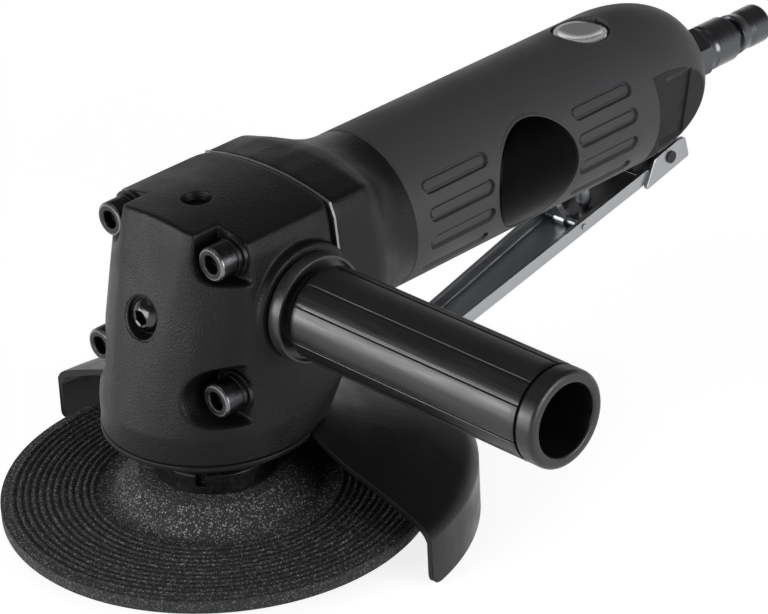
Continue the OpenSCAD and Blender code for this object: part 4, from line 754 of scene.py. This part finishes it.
# Collar: a moulded acetal ring, smooth and a little greyer than the handle, rubbed where it is
# turned by hand.
collar_coat, *parts = new_finish("moulded_grey_acetal", "#2c2c2e", 0.0, 0.3)
grain(*parts, size=1.1, detail=4, spread=(0.35, 0.65), gloss=(0.27, 0.34))
neck_r, lip_r = HANDLE_R - 2.0, COLLAR_R - COLLAR_LIP
profile = ([(STUD_HOLE_R, 0.02), (COLLAR_R - 1.4, 0.02)]
           + [(COLLAR_R - 1 + c, 1 - 0.9 * s) for c, s in zip(np.cos(lip[::-1]), np.sin(lip[::-1]))]
           + [(COLLAR_R, COLLAR_T - 0.4), (COLLAR_R - 0.12, COLLAR_T - 0.1),
              (COLLAR_R - 0.4, COLLAR_T), (lip_r, COLLAR_T), (lip_r, COLLAR_T - COLLAR_RECESS),
              (neck_r, COLLAR_T - COLLAR_RECESS), (neck_r, COLLAR_T), (STUD_HOLE_R, COLLAR_T),
              (STUD_HOLE_R, 0.02)])
collar = turned(profile, 180, (BOSS_X, -BOSS_Y, MOTOR_Z), (0, -1, 0))
skin("handle_collar_ring", [collar], collar_coat, "housing", ["handle_collar"],
     crease=30)


# Wheel guard: pressed sheet steel in satin black paint. A flat ring clamps under the head, the skin
# curves down over the back half of the wheel to a straight skirt, and the lower corners of the
# skirt are round.
GUARD_R, GUARD_T, GUARD_LOW, GUARD_EDGE, GUARD_CORNER = 75.0, 1.6, -6.0, 8.0, 4.0
GUARD_TURN, GUARD_SHOULDER, GUARD_START_R, GUARD_STEPS = math.radians(3.2), 9.4, 30.2, 241
RING_IN, RING_OUT, RING_Z0, RING_Z1 = 24.05, 31.85, 26.55, 28.45
GUARD_CURVE = ((0, 0), (0.109, 0.147), (0.273, 0.312), (0.461, 0.44), (0.648, 0.573),
               (0.812, 0.712), (0.939, 0.829), (0.979, 0.893), (1, 1))
GUARD_SPAN = (43, 19)

# Sprayed paint on steel: a soft orange peel of about 1.6 mm, a little cloudy in its gloss.
guard_coat, *parts = new_finish("satin_black_paint", "#0b0b0c", 0.0, 0.36, Specular_IOR_Level=0.22)
grain(*parts, size=1.6, detail=2, depth=0.05, edge_r=0.4)
grain(*parts, size=11, detail=3, spread=(0.35, 0.65), gloss=(0.3, 0.42))

# The skin's curve runs from 0 to 1 both ways, and is set out evenly over the span it covers in mm.
curve = resampled(np.array(GUARD_CURVE) * GUARD_SPAN, 48) / GUARD_SPAN
for _ in range(3):
    curve[1:-1] = (curve[:-2] + 2 * curve[1:-1] + curve[2:]) / 4


def guard_line(inset):
    """One side of the guard's sheet as (r, z): a curve from the ring to the shoulder, then the
    skirt straight down."""
    r0, z0, far_r = RING_OUT + 0.5, RING_Z0 + GUARD_T - inset, GUARD_R - inset
    drop = RING_Z0 + GUARD_T - GUARD_SHOULDER
    curved = np.stack([r0 + curve[:, 0] * (far_r - r0), z0 - curve[:, 1] * drop], -1)
    down = np.linspace(curved[-1, 1], GUARD_LOW, 30)[1:]
    return np.vstack([[[GUARD_START_R, RING_Z1 - 0.15 - inset]], curved,
                      np.stack([np.full(len(down), far_r), down], -1)])


# The sheet's section is turned about the spindle, each point as far round as the front edge lets
# it: the arc cosine of the edge's x over the point's radius.
outside, inside = guard_line(0.0), guard_line(GUARD_T)
section = np.vstack([outside, inside[::-1], outside[:1]])
drop = np.maximum(GUARD_LOW + GUARD_CORNER - section[:, 1], 0)
edge_x = GUARD_EDGE + GUARD_CORNER - np.sqrt(np.maximum(GUARD_CORNER ** 2 - drop ** 2, 0))
limit = np.arccos(np.clip(edge_x / section[:, 0], -1, 1))
angle = GUARD_TURN + limit[:, None] * np.linspace(-1, 1, GUARD_STEPS)
shell = np.stack([section[:, :1] * np.cos(angle), section[:, :1] * np.sin(angle),
                  section[:, 1:] * np.ones(GUARD_STEPS)], -1)
skin("guard_hood", [shell], guard_coat, "guard", ["guard"], ring=False, crease=40)
profile = [(RING_IN, RING_Z0), (RING_IN, RING_Z1), (RING_OUT - 1.0, RING_Z1),
           (RING_OUT - 0.3, RING_Z1 - 0.15), (RING_OUT, RING_Z1 - 0.5), (RING_OUT, RING_Z0 + 0.3),
           (RING_OUT - 0.3, RING_Z0), (RING_IN, RING_Z0)]
ring_form = turned(profile, 180, (0, 0, 0), (0, 0, 1))
skin("guard_ring", [ring_form], guard_coat, "guard", crease=30)


# Grinding wheel: resin bonded grit with a depressed hub, pressed in a ridged mould. The ridges show
# as fine rings, and loose bright grains lie in the dark bond. A steel bush lines its bore.
WHEEL_R, WHEEL_T, WHEEL_TOP, WHEEL_WEB = 62.5, 4.4, 10.8, 4.4
HUB_R, SLOPE_END, BUSH_R = 23.0, 30.0, 13.02
RIDGE_R, RIDGE_PITCH, RIDGES = 36.0, 2.1, 12
RIDGE_SHAPE = ((-0.88, 0), (-0.55, 0.27), (-0.25, 0.45), (0, 0.5), (0.25, 0.45), (0.55, 0.27),
               (0.88, 0))

# Bonded grit: each Voronoi cell is one grain, about 0.34 mm as in a coarse wheel. A few of them are
# bright and glossy. The wheel's radius, worked out from x and y, paints shade into the valleys
# between the ridges and light on their crests by a cosine, and paints light on the hub so that it
# shows paler.
grit, tree, surface, place = new_finish("resin_bonded_grit", "#1c1c1e", 0.0, 0.8)
grains = add_node(tree, "ShaderNodeTexVoronoi", {"Vector": place}, s2=1 / (0.34 * MM))
lumps = add_node(tree, "ShaderNodeTexNoise", {"Vector": place}, s2=1 / (0.6 * MM), s3=3.0)
height = add_node(tree, "ShaderNodeMath", {0: grains.outputs["Distance"], 1: lumps.outputs[0]},
                  operation="ADD")
bump = add_node(tree, "ShaderNodeBump", {"Height": height.outputs[0]}, s0=1.0, s1=0.22 * MM)
tree.links.new(bump.outputs[0], surface.inputs["Normal"])
pick = add_node(tree, "ShaderNodeSeparateColor", {0: grains.outputs["Color"]})
bright = add_node(tree, "ShaderNodeMapRange", {"Value": pick.outputs[0]},
                  s1=0.8, s2=1.0, s3=0.0, s4=0.75)
flat = add_node(tree, "ShaderNodeVectorMath", {0: place}, operation="MULTIPLY")
flat.inputs[1].default_value = (1, 1, 0)
radius = add_node(tree, "ShaderNodeVectorMath", {0: flat.outputs[0]}, operation="LENGTH")
# Painted shade and light: a cosine of the radius darkens the valleys and lightens the crests.
phase = add_node(
    tree, "ShaderNodeMath", {0: radius.outputs["Value"]}, operation="MULTIPLY_ADD",
    s1=2 * math.pi / (RIDGE_PITCH * MM), s2=-2 * math.pi * RIDGE_R / RIDGE_PITCH)
valley = add_node(tree, "ShaderNodeMath", {0: phase.outputs[0]}, operation="COSINE")
ridged = add_node(tree, "ShaderNodeMath", {0: radius.outputs["Value"]}, operation="GREATER_THAN",
                  s1=(RIDGE_R - 1) * MM)
valley = add_node(tree, "ShaderNodeMath", {0: valley.outputs[0], 1: ridged.outputs[0]},
                  operation="MULTIPLY")
shade = add_node(tree, "ShaderNodeMapRange", {"Value": valley.outputs[0]},
                 s1=-1.0, s2=1.0, s3=0.35, s4=1.4)
tint = add_node(tree, "ShaderNodeValToRGB", {0: bright.outputs[0]})
tint.color_ramp.elements[0].color = linear("#1e1e20")
tint.color_ramp.elements[1].color = linear("#9c9c9f")
# Painted light: the hub inside the ridges is made paler, standing in for the light on its slope.
painted_hub_light = add_node(tree, "ShaderNodeMath", {0: ridged.outputs[0]}, operation="MULTIPLY_ADD",
                 s1=-0.8, s2=0.8)
shade = add_node(tree, "ShaderNodeMath", {0: shade.outputs[0], 1: painted_hub_light.outputs[0]},
                 operation="ADD")
painted_light_tint = add_node(tree, "ShaderNodeVectorMath", {0: tint.outputs[0]}, operation="SCALE")
tree.links.new(shade.outputs[0], painted_light_tint.inputs["Scale"])
tree.links.new(painted_light_tint.outputs[0], surface.inputs["Base Color"])
shine = add_node(tree, "ShaderNodeMapRange", {"Value": pick.outputs[1]},
                 s1=0.6, s2=1.0, s3=0.85, s4=0.3)
tree.links.new(shine.outputs[0], surface.inputs["Roughness"])

web_z = WHEEL_TOP - WHEEL_WEB
rings = np.vstack([np.array(RIDGE_SHAPE) + [RIDGE_R + RIDGE_PITCH * i, WHEEL_T]
                   for i in range(RIDGES)])
profile = np.vstack([
    [(BUSH_R, web_z), (BUSH_R, WHEEL_TOP), (HUB_R - 0.6, WHEEL_TOP), (HUB_R + 0.2, WHEEL_TOP - 0.2),
     (SLOPE_END - 0.9, WHEEL_T + 0.75), (SLOPE_END, WHEEL_T + 0.2), (SLOPE_END + 1.2, WHEEL_T)],
    rings,
    [(WHEEL_R - 0.7, WHEEL_T), (WHEEL_R - 0.15, WHEEL_T - 0.15), (WHEEL_R, WHEEL_T - 0.5),
     (WHEEL_R, 0.5), (WHEEL_R - 0.4, 0.05), (WHEEL_R - 0.9, 0), (SLOPE_END - 1.4, 0),
     (HUB_R - 1.4, web_z), (BUSH_R, web_z)]])
wheel = turned(profile, 360, (0, 0, 0), (0, 0, 1))
skin("wheel_disc", [wheel], grit, "spindle_unit", ["grinding_wheel"], crease=45)


# Lever: one pressing of zinc plated steel sheet, a channel that tapers to a round tip, with an ear
# up each side for the pin. The plating is bright and slightly streaked along the sheet. The latch,
# the valve and the bushing have it too.
LEVER_TILT = math.radians(13.4)
LEVER_BACK, LEVER_L, LEVER_W, TIP_W, LEVER_T = -9.5, 101.0, 9.7, 6.9, 1.5
WEB_Z, RIM_Z, BEND_R, TIP_R = -4.7, 0.8, 2.2, 3.6
WEB_ROWS = (4.5, 2.4, 0.0)
EAR_OUT, EAR_IN, EAR_STEPS, EAR_MIDDLE = 10.9, 9.4, 160, (-1.5, -1.5)
EAR_LINE = ((-12.4, -4.7), (8, -4.7), (8, 2.0), (7.4, 2.7), (4.5, 3.4), (-6, 3.4), (-7, 2.8),
            (-12.4, -3.8))

plated, *parts = new_finish("zinc_plated_steel", "#a2a4a7", 1.0, 0.34)
grain(*parts, size=1.8, detail=4, stretch=(0.12, 1, 1), gloss=(0.3, 0.44), depth=0.012, edge_r=0.3)


def on_lever(points):
    """Turns points of the level lever down about the pivot by its resting angle."""
    px, py, pz = points[..., 0], points[..., 1], points[..., 2]
    c, s = math.cos(LEVER_TILT), math.sin(LEVER_TILT)
    return np.stack([PIVOT_X + px * c - pz * s, py, PIVOT_Z + px * s + pz * c], -1)


def tray(inset, low):
    """A tray in the lever's plan, drawn in by inset: down from the rim, round the bend by a quarter
    circle, and in to its spine."""
    bend = np.radians(np.linspace(90, 180, 9))
    along = np.concatenate([[LEVER_BACK, -11.5], np.linspace(-14, -34, 8),
                            [-35.8, -38, -41, -44, -46], np.linspace(-48, -LEVER_L + TIP_R, 22)])
    taper = np.clip((LEVER_BACK - along) / (LEVER_L - 3 + LEVER_BACK), 0, 1)
    half = LEVER_W + (TIP_W - LEVER_W) * taper - inset
    corner_r = TIP_R - inset
    corner = np.column_stack([-LEVER_L + TIP_R + corner_r * np.cos(bend),
                              TIP_W - TIP_R + corner_r * np.sin(bend)])
    plan = np.vstack([np.column_stack([along, half]), corner[1:], [[-LEVER_L + inset, 0]]])
    plan = np.vstack([plan, plan[-2::-1] * [1, -1]])
    spine = np.stack([np.maximum(plan[:, 0], -LEVER_L + 6), np.zeros(len(plan))], -1)
    span = np.linalg.norm(spine - plan, axis=1, keepdims=True)
    inward = (spine - plan) / np.maximum(span, TINY)
    turn_r = BEND_R - inset
    turn = np.radians(np.linspace(0, 90, 7))
    levels = [(0.0, RIM_Z), (0.0, -1.0)]
    levels += [(turn_r * (1 - c), low + turn_r * (1 - s))
               for c, s in zip(np.cos(turn), np.sin(turn))]
    rows = [np.column_stack([plan + inward * i, np.full(len(plan), z)]) for i, z in levels]
    rows += [np.column_stack([spine - inward * np.minimum(y, span - turn_r),
                              np.full(len(plan), low)]) for y in WEB_ROWS]
    return np.stack(rows)


under = tray(0.0, WEB_Z)
upper = tray(LEVER_T, WEB_Z + LEVER_T)
channel = on_lever(np.concatenate([upper[::-1], under]))
skin("lever_channel", [channel], plated, "lever_unit", ["throttle_lever"],
     ring=False, crease=30)

# Each ear is its outline with softened corners, carried across the sheet's thickness with a fine
# rolled edge.
ear_line = resampled(np.array(EAR_LINE), EAR_STEPS, closed=True)
for _ in range(4):
    ear_line = (np.roll(ear_line, 1, 0) + 2 * ear_line + np.roll(ear_line, -1, 0)) / 4
ear_rows = [(0.0, EAR_IN), (0.96, EAR_IN), (1.0, EAR_IN + 0.2), (1.0, EAR_OUT - 0.2),
            (0.96, EAR_OUT), (0.0, EAR_OUT)]
ears = []
for s in (-1, 1):
    shapes = [(EAR_MIDDLE + (ear_line - EAR_MIDDLE) * size, y) for size, y in ear_rows]
    ears.append(on_lever(np.stack([
        np.column_stack([line[:, 0], np.full(EAR_STEPS, s * y), line[:, 1]])
        for line, y in shapes])))
skin("lever_ears", ears, plated, "lever_unit", crease=30)
coat(plated, "safety_latch", "latch_pin", "throttle_valve", "wheel_bush", "handle_stud",
     "inlet_bushing")


# Valve plug: a turned steel cap screwed in over the throttle valve. Its face is dished by a form
# tool and polished, which leaves faint rings about its own axis.
polished, tree, surface, place = new_finish("polished_steel", "#eeeff1", 1.0, 0.12)
centred = add_node(tree, "ShaderNodeMapping", {"Vector": place}, s1=(-VALVE_X * MM, 0, 0))
rings = add_node(tree, "ShaderNodeTexWave", {"Vector": centred.outputs[0]}, wave_type="RINGS",
                 rings_direction="Z", s1=1 / (2.2 * MM), s2=1.5, s3=2.0)
dull = add_node(tree, "ShaderNodeMapRange", {"Value": rings.outputs[1]},
                s1=0.2, s2=0.8, s3=0.08, s4=0.22)
tree.links.new(dull.outputs[0], surface.inputs["Roughness"])
coat(polished, "valve_plug")


# Air plug: case hardened steel, dark grey and lightly oiled, with turned steps. The plug screws in
# the bushing. The flanges that hold the wheel between them take the blackened steel.
dark_steel, *parts = new_finish("hardened_grey_steel", "#5a5b5e", 1.0, 0.3)
grain(*parts, size=0.8, detail=3, stretch=(1, 0.15, 0.15), gloss=(0.18, 0.36), edge_r=0.25)
coat(dark_steel, "air_plug")
coat(black_oxide, "inner_flange", "flange_nut")


# Spindle, gears and motor: ground and hardened alloy steel, even and bright. The pieces are pressed
# or keyed together, and show only where the tool is taken apart.
ground, *parts = new_finish("ground_alloy_steel", "#a9abae", 1.0, 0.28)
grain(*parts, size=0.9, detail=3, gloss=(0.2, 0.36))
coat(ground, "spindle", "bevel_gear", "pinion", "rotor", "gear_key", "motor_cylinder")


# Bearings: rings and balls of chromium steel, lapped to a mirror. The small pin and the latch's
# spring are as bright.
bearing, *parts = new_finish("lapped_bearing_steel", "#c6c8cb", 1.0, 0.1)
grain(*parts, size=2, detail=2, gloss=(0.06, 0.16))
coat(bearing, "spindle_bearing_inner", "spindle_bearing_outer", "spindle_bearing_balls",
     "front_bearing_inner", "front_bearing_outer", "front_bearing_balls", "rear_bearing_inner",
     "rear_bearing_outer", "rear_bearing_balls", "needle_bearing", "cylinder_dowel",
     "latch_spring")


# Valve spring: music wire wound cold into six turns and left oil grey. It sits between the valve
# and its plug, drawn at its resting length; in life it closes up as the lever lifts the valve.
SPRING_R, SPRING_WIRE_R, SPRING_TURNS, VALVE_TRAVEL, SPRING_END = 4.4, 0.55, 6, 4.5, 79.9

wire, *parts = new_finish("drawn_spring_wire", "#8f9194", 1.0, 0.3)
grain(*parts, size=0.7, detail=2, gloss=(0.22, 0.38))

# The wire's round section goes up a helix: its height grows evenly with the angle.
low, high = (corner.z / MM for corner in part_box("valve_spring"))
wind = np.linspace(0, 2 * np.pi * SPRING_TURNS, 24 * SPRING_TURNS + 1)[:, None]
section = np.linspace(0, 2 * np.pi, 10, endpoint=False)
coil_r = SPRING_R + SPRING_WIRE_R * np.cos(section)
coil_z = low + SPRING_WIRE_R + (high - low - 2 * SPRING_WIRE_R) * wind / wind[-1]
coil_z = coil_z + SPRING_WIRE_R * np.sin(section)
coil = np.stack([VALVE_X + coil_r * np.cos(wind), coil_r * np.sin(wind), coil_z], -1)
spring = skin("valve_spring_coil", [coil], wire, "housing", ["valve_spring"],
              crease=50)
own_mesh(spring)


# End plates: cast iron, ground on both faces, so it is grey with a fine open grain. They close the
# motor's cylinder and hold its bearings.
iron, *parts = new_finish("ground_cast_iron", "#6f7072", 1.0, 0.42)
grain(*parts, size=0.5, detail=4, gloss=(0.32, 0.56))
coat(iron, "front_end_plate", "rear_end_plate")


# Vanes: sheets of cloth filled phenolic, sawn to slide in the rotor's slots. They are brown, with
# faint layers across their thickness.
vane, *parts = new_finish("laminated_phenolic", "#6b4427", 0.0, 0.5)
tree, surface, place = parts
layers = add_node(tree, "ShaderNodeTexNoise", {"Vector": place}, s2=1 / (0.6 * MM), s3=2.0)
tone = add_node(tree, "ShaderNodeValToRGB", {0: layers.outputs[0]})
tone.color_ramp.elements[0].color = linear("#56351d")
tone.color_ramp.elements[1].color = linear("#86603c")
tree.links.new(tone.outputs[0], surface.inputs["Base Color"])
coat(vane, "rotor_vanes")


# Seals: moulded nitrile rubber, dull black with a slight bloom. They are snapped or pressed in
# their grooves.
rubber, *parts = new_finish("nitrile_rubber", "#19191a", 0.0, 0.6)
grain(*parts, size=1.4, detail=3, gloss=(0.5, 0.72))
coat(rubber, "spindle_seal", "plug_o_ring", "valve_seal")


# Valve seat, stem bush and inlet screen: brass, turned or drilled from bar and pressed in. It keeps
# the fine marks of the tool.
brass, *parts = new_finish("turned_brass", "#c9a45c", 1.0, 0.24)
grain(*parts, size=0.8, detail=2, gloss=(0.18, 0.34))
coat(brass, "valve_seat", "stem_bush", "inlet_screen")


# Studio: a white floor under the tool that keeps its soft shadow, a white surround, and broad soft
# lamps, the main one high on the left in front of the wheel. Each lamp has its name, watts, width
# in metres and stand in mm.
FLOOR_GAP, FLOOR_HALF = 0.2, 6000.0
PAPER_GLOW, WORLD_LEVEL = 0.82, 0.15
LAMP_AIM = Vector((60, 0, 50))
LAMPS = (("left_softbox", 13.0, 0.9, (-1150, 100, 160)),
         ("strip_softbox", 6.5, 0.45, (-960, 800, 190)),
         ("front_softbox", 16.0, 0.9, (250, -1300, 190)),
         ("top_softbox", 0.6, 0.8, (-250, 150, 1350)))

floor_mesh = bpy.data.meshes.new("studio_floor")
corners = np.array([(-1, -1, 0), (1, -1, 0), (1, 1, 0), (-1, 1, 0)]) * FLOOR_HALF * MM
corners = corners + [0, 0, cad_box[0].z - FLOOR_GAP * MM]
floor_mesh.from_pydata(corners.tolist(), [], [(0, 1, 2, 3)])
floor_piece = bpy.data.objects.new("studio_floor", floor_mesh)
scene.collection.objects.link(floor_piece)

# Studio paper: matt and white. It shows its own white to the camera and in reflections, and lights
# the tool only by what falls on it.
paper = bpy.data.materials.new("white_studio_paper")
paper.use_nodes = True
tree = paper.node_tree
tree.nodes.remove(tree.nodes["Principled BSDF"])
rays = add_node(tree, "ShaderNodeLightPath").outputs
seen = add_node(tree, "ShaderNodeMath", {0: rays["Is Camera Ray"], 1: rays["Is Glossy Ray"]},
                operation="MAXIMUM")
seen = add_node(tree, "ShaderNodeMath", {0: seen.outputs[0], 1: rays["Is Transmission Ray"]},
                operation="MAXIMUM")
sheet = add_node(tree, "ShaderNodeBsdfDiffuse", s0=linear("#b8b8b8"))
lit = add_node(tree, "ShaderNodeEmission", {1: seen.outputs[0]}, s0=(*[PAPER_GLOW] * 3, 1))
both = add_node(tree, "ShaderNodeAddShader", {0: sheet.outputs[0], 1: lit.outputs[0]})
tree.links.new(both.outputs[0], tree.nodes["Material Output"].inputs["Surface"])
floor_mesh.materials.append(paper)

# Surround: white to the camera, dim to the object, and bright in reflections only near the horizon,
# so that dark gloss keeps a dark top.
world = bpy.data.worlds.new("studio")
scene.world = world
world.use_nodes = True
tree = world.node_tree
heading = add_node(tree, "ShaderNodeTexCoord").outputs["Generated"]
heading = add_node(tree, "ShaderNodeSeparateXYZ", {0: heading})
near_floor = add_node(tree, "ShaderNodeMapRange", {"Value": heading.outputs["Z"]},
                      s1=0.05, s2=0.5, s3=1.0, s4=0.0)
rays = add_node(tree, "ShaderNodeLightPath").outputs
seen = add_node(tree, "ShaderNodeMath", {0: rays["Is Camera Ray"], 1: rays["Is Transmission Ray"]},
                operation="MAXIMUM")
mirrored = add_node(tree, "ShaderNodeMath", {0: rays["Is Glossy Ray"], 1: near_floor.outputs[0]},
                    operation="MULTIPLY")
seen = add_node(tree, "ShaderNodeMath", {0: seen.outputs[0], 1: mirrored.outputs[0]},
                operation="MAXIMUM")
level = add_node(tree, "ShaderNodeMapRange", {"Value": seen.outputs[0]}, s3=WORLD_LEVEL, s4=1.0)
sky = tree.nodes["Background"]
sky.inputs["Color"].default_value = (1, 1, 1, 1)
tree.links.new(level.outputs[0], sky.inputs["Strength"])

for lamp, watts, width, stand in LAMPS:
    light = bpy.data.lights.new(lamp, "AREA")
    light.energy = watts
    light.size = width
    held = bpy.data.objects.new(lamp, light)
    scene.collection.objects.link(held)
    aim = (LAMP_AIM - Vector(stand)).to_track_quat("-Z", "Y").to_matrix().to_4x4()
    aim.translation = Vector(stand) * MM
    held.matrix_world = aim

scene.view_settings.view_transform = "Standard"
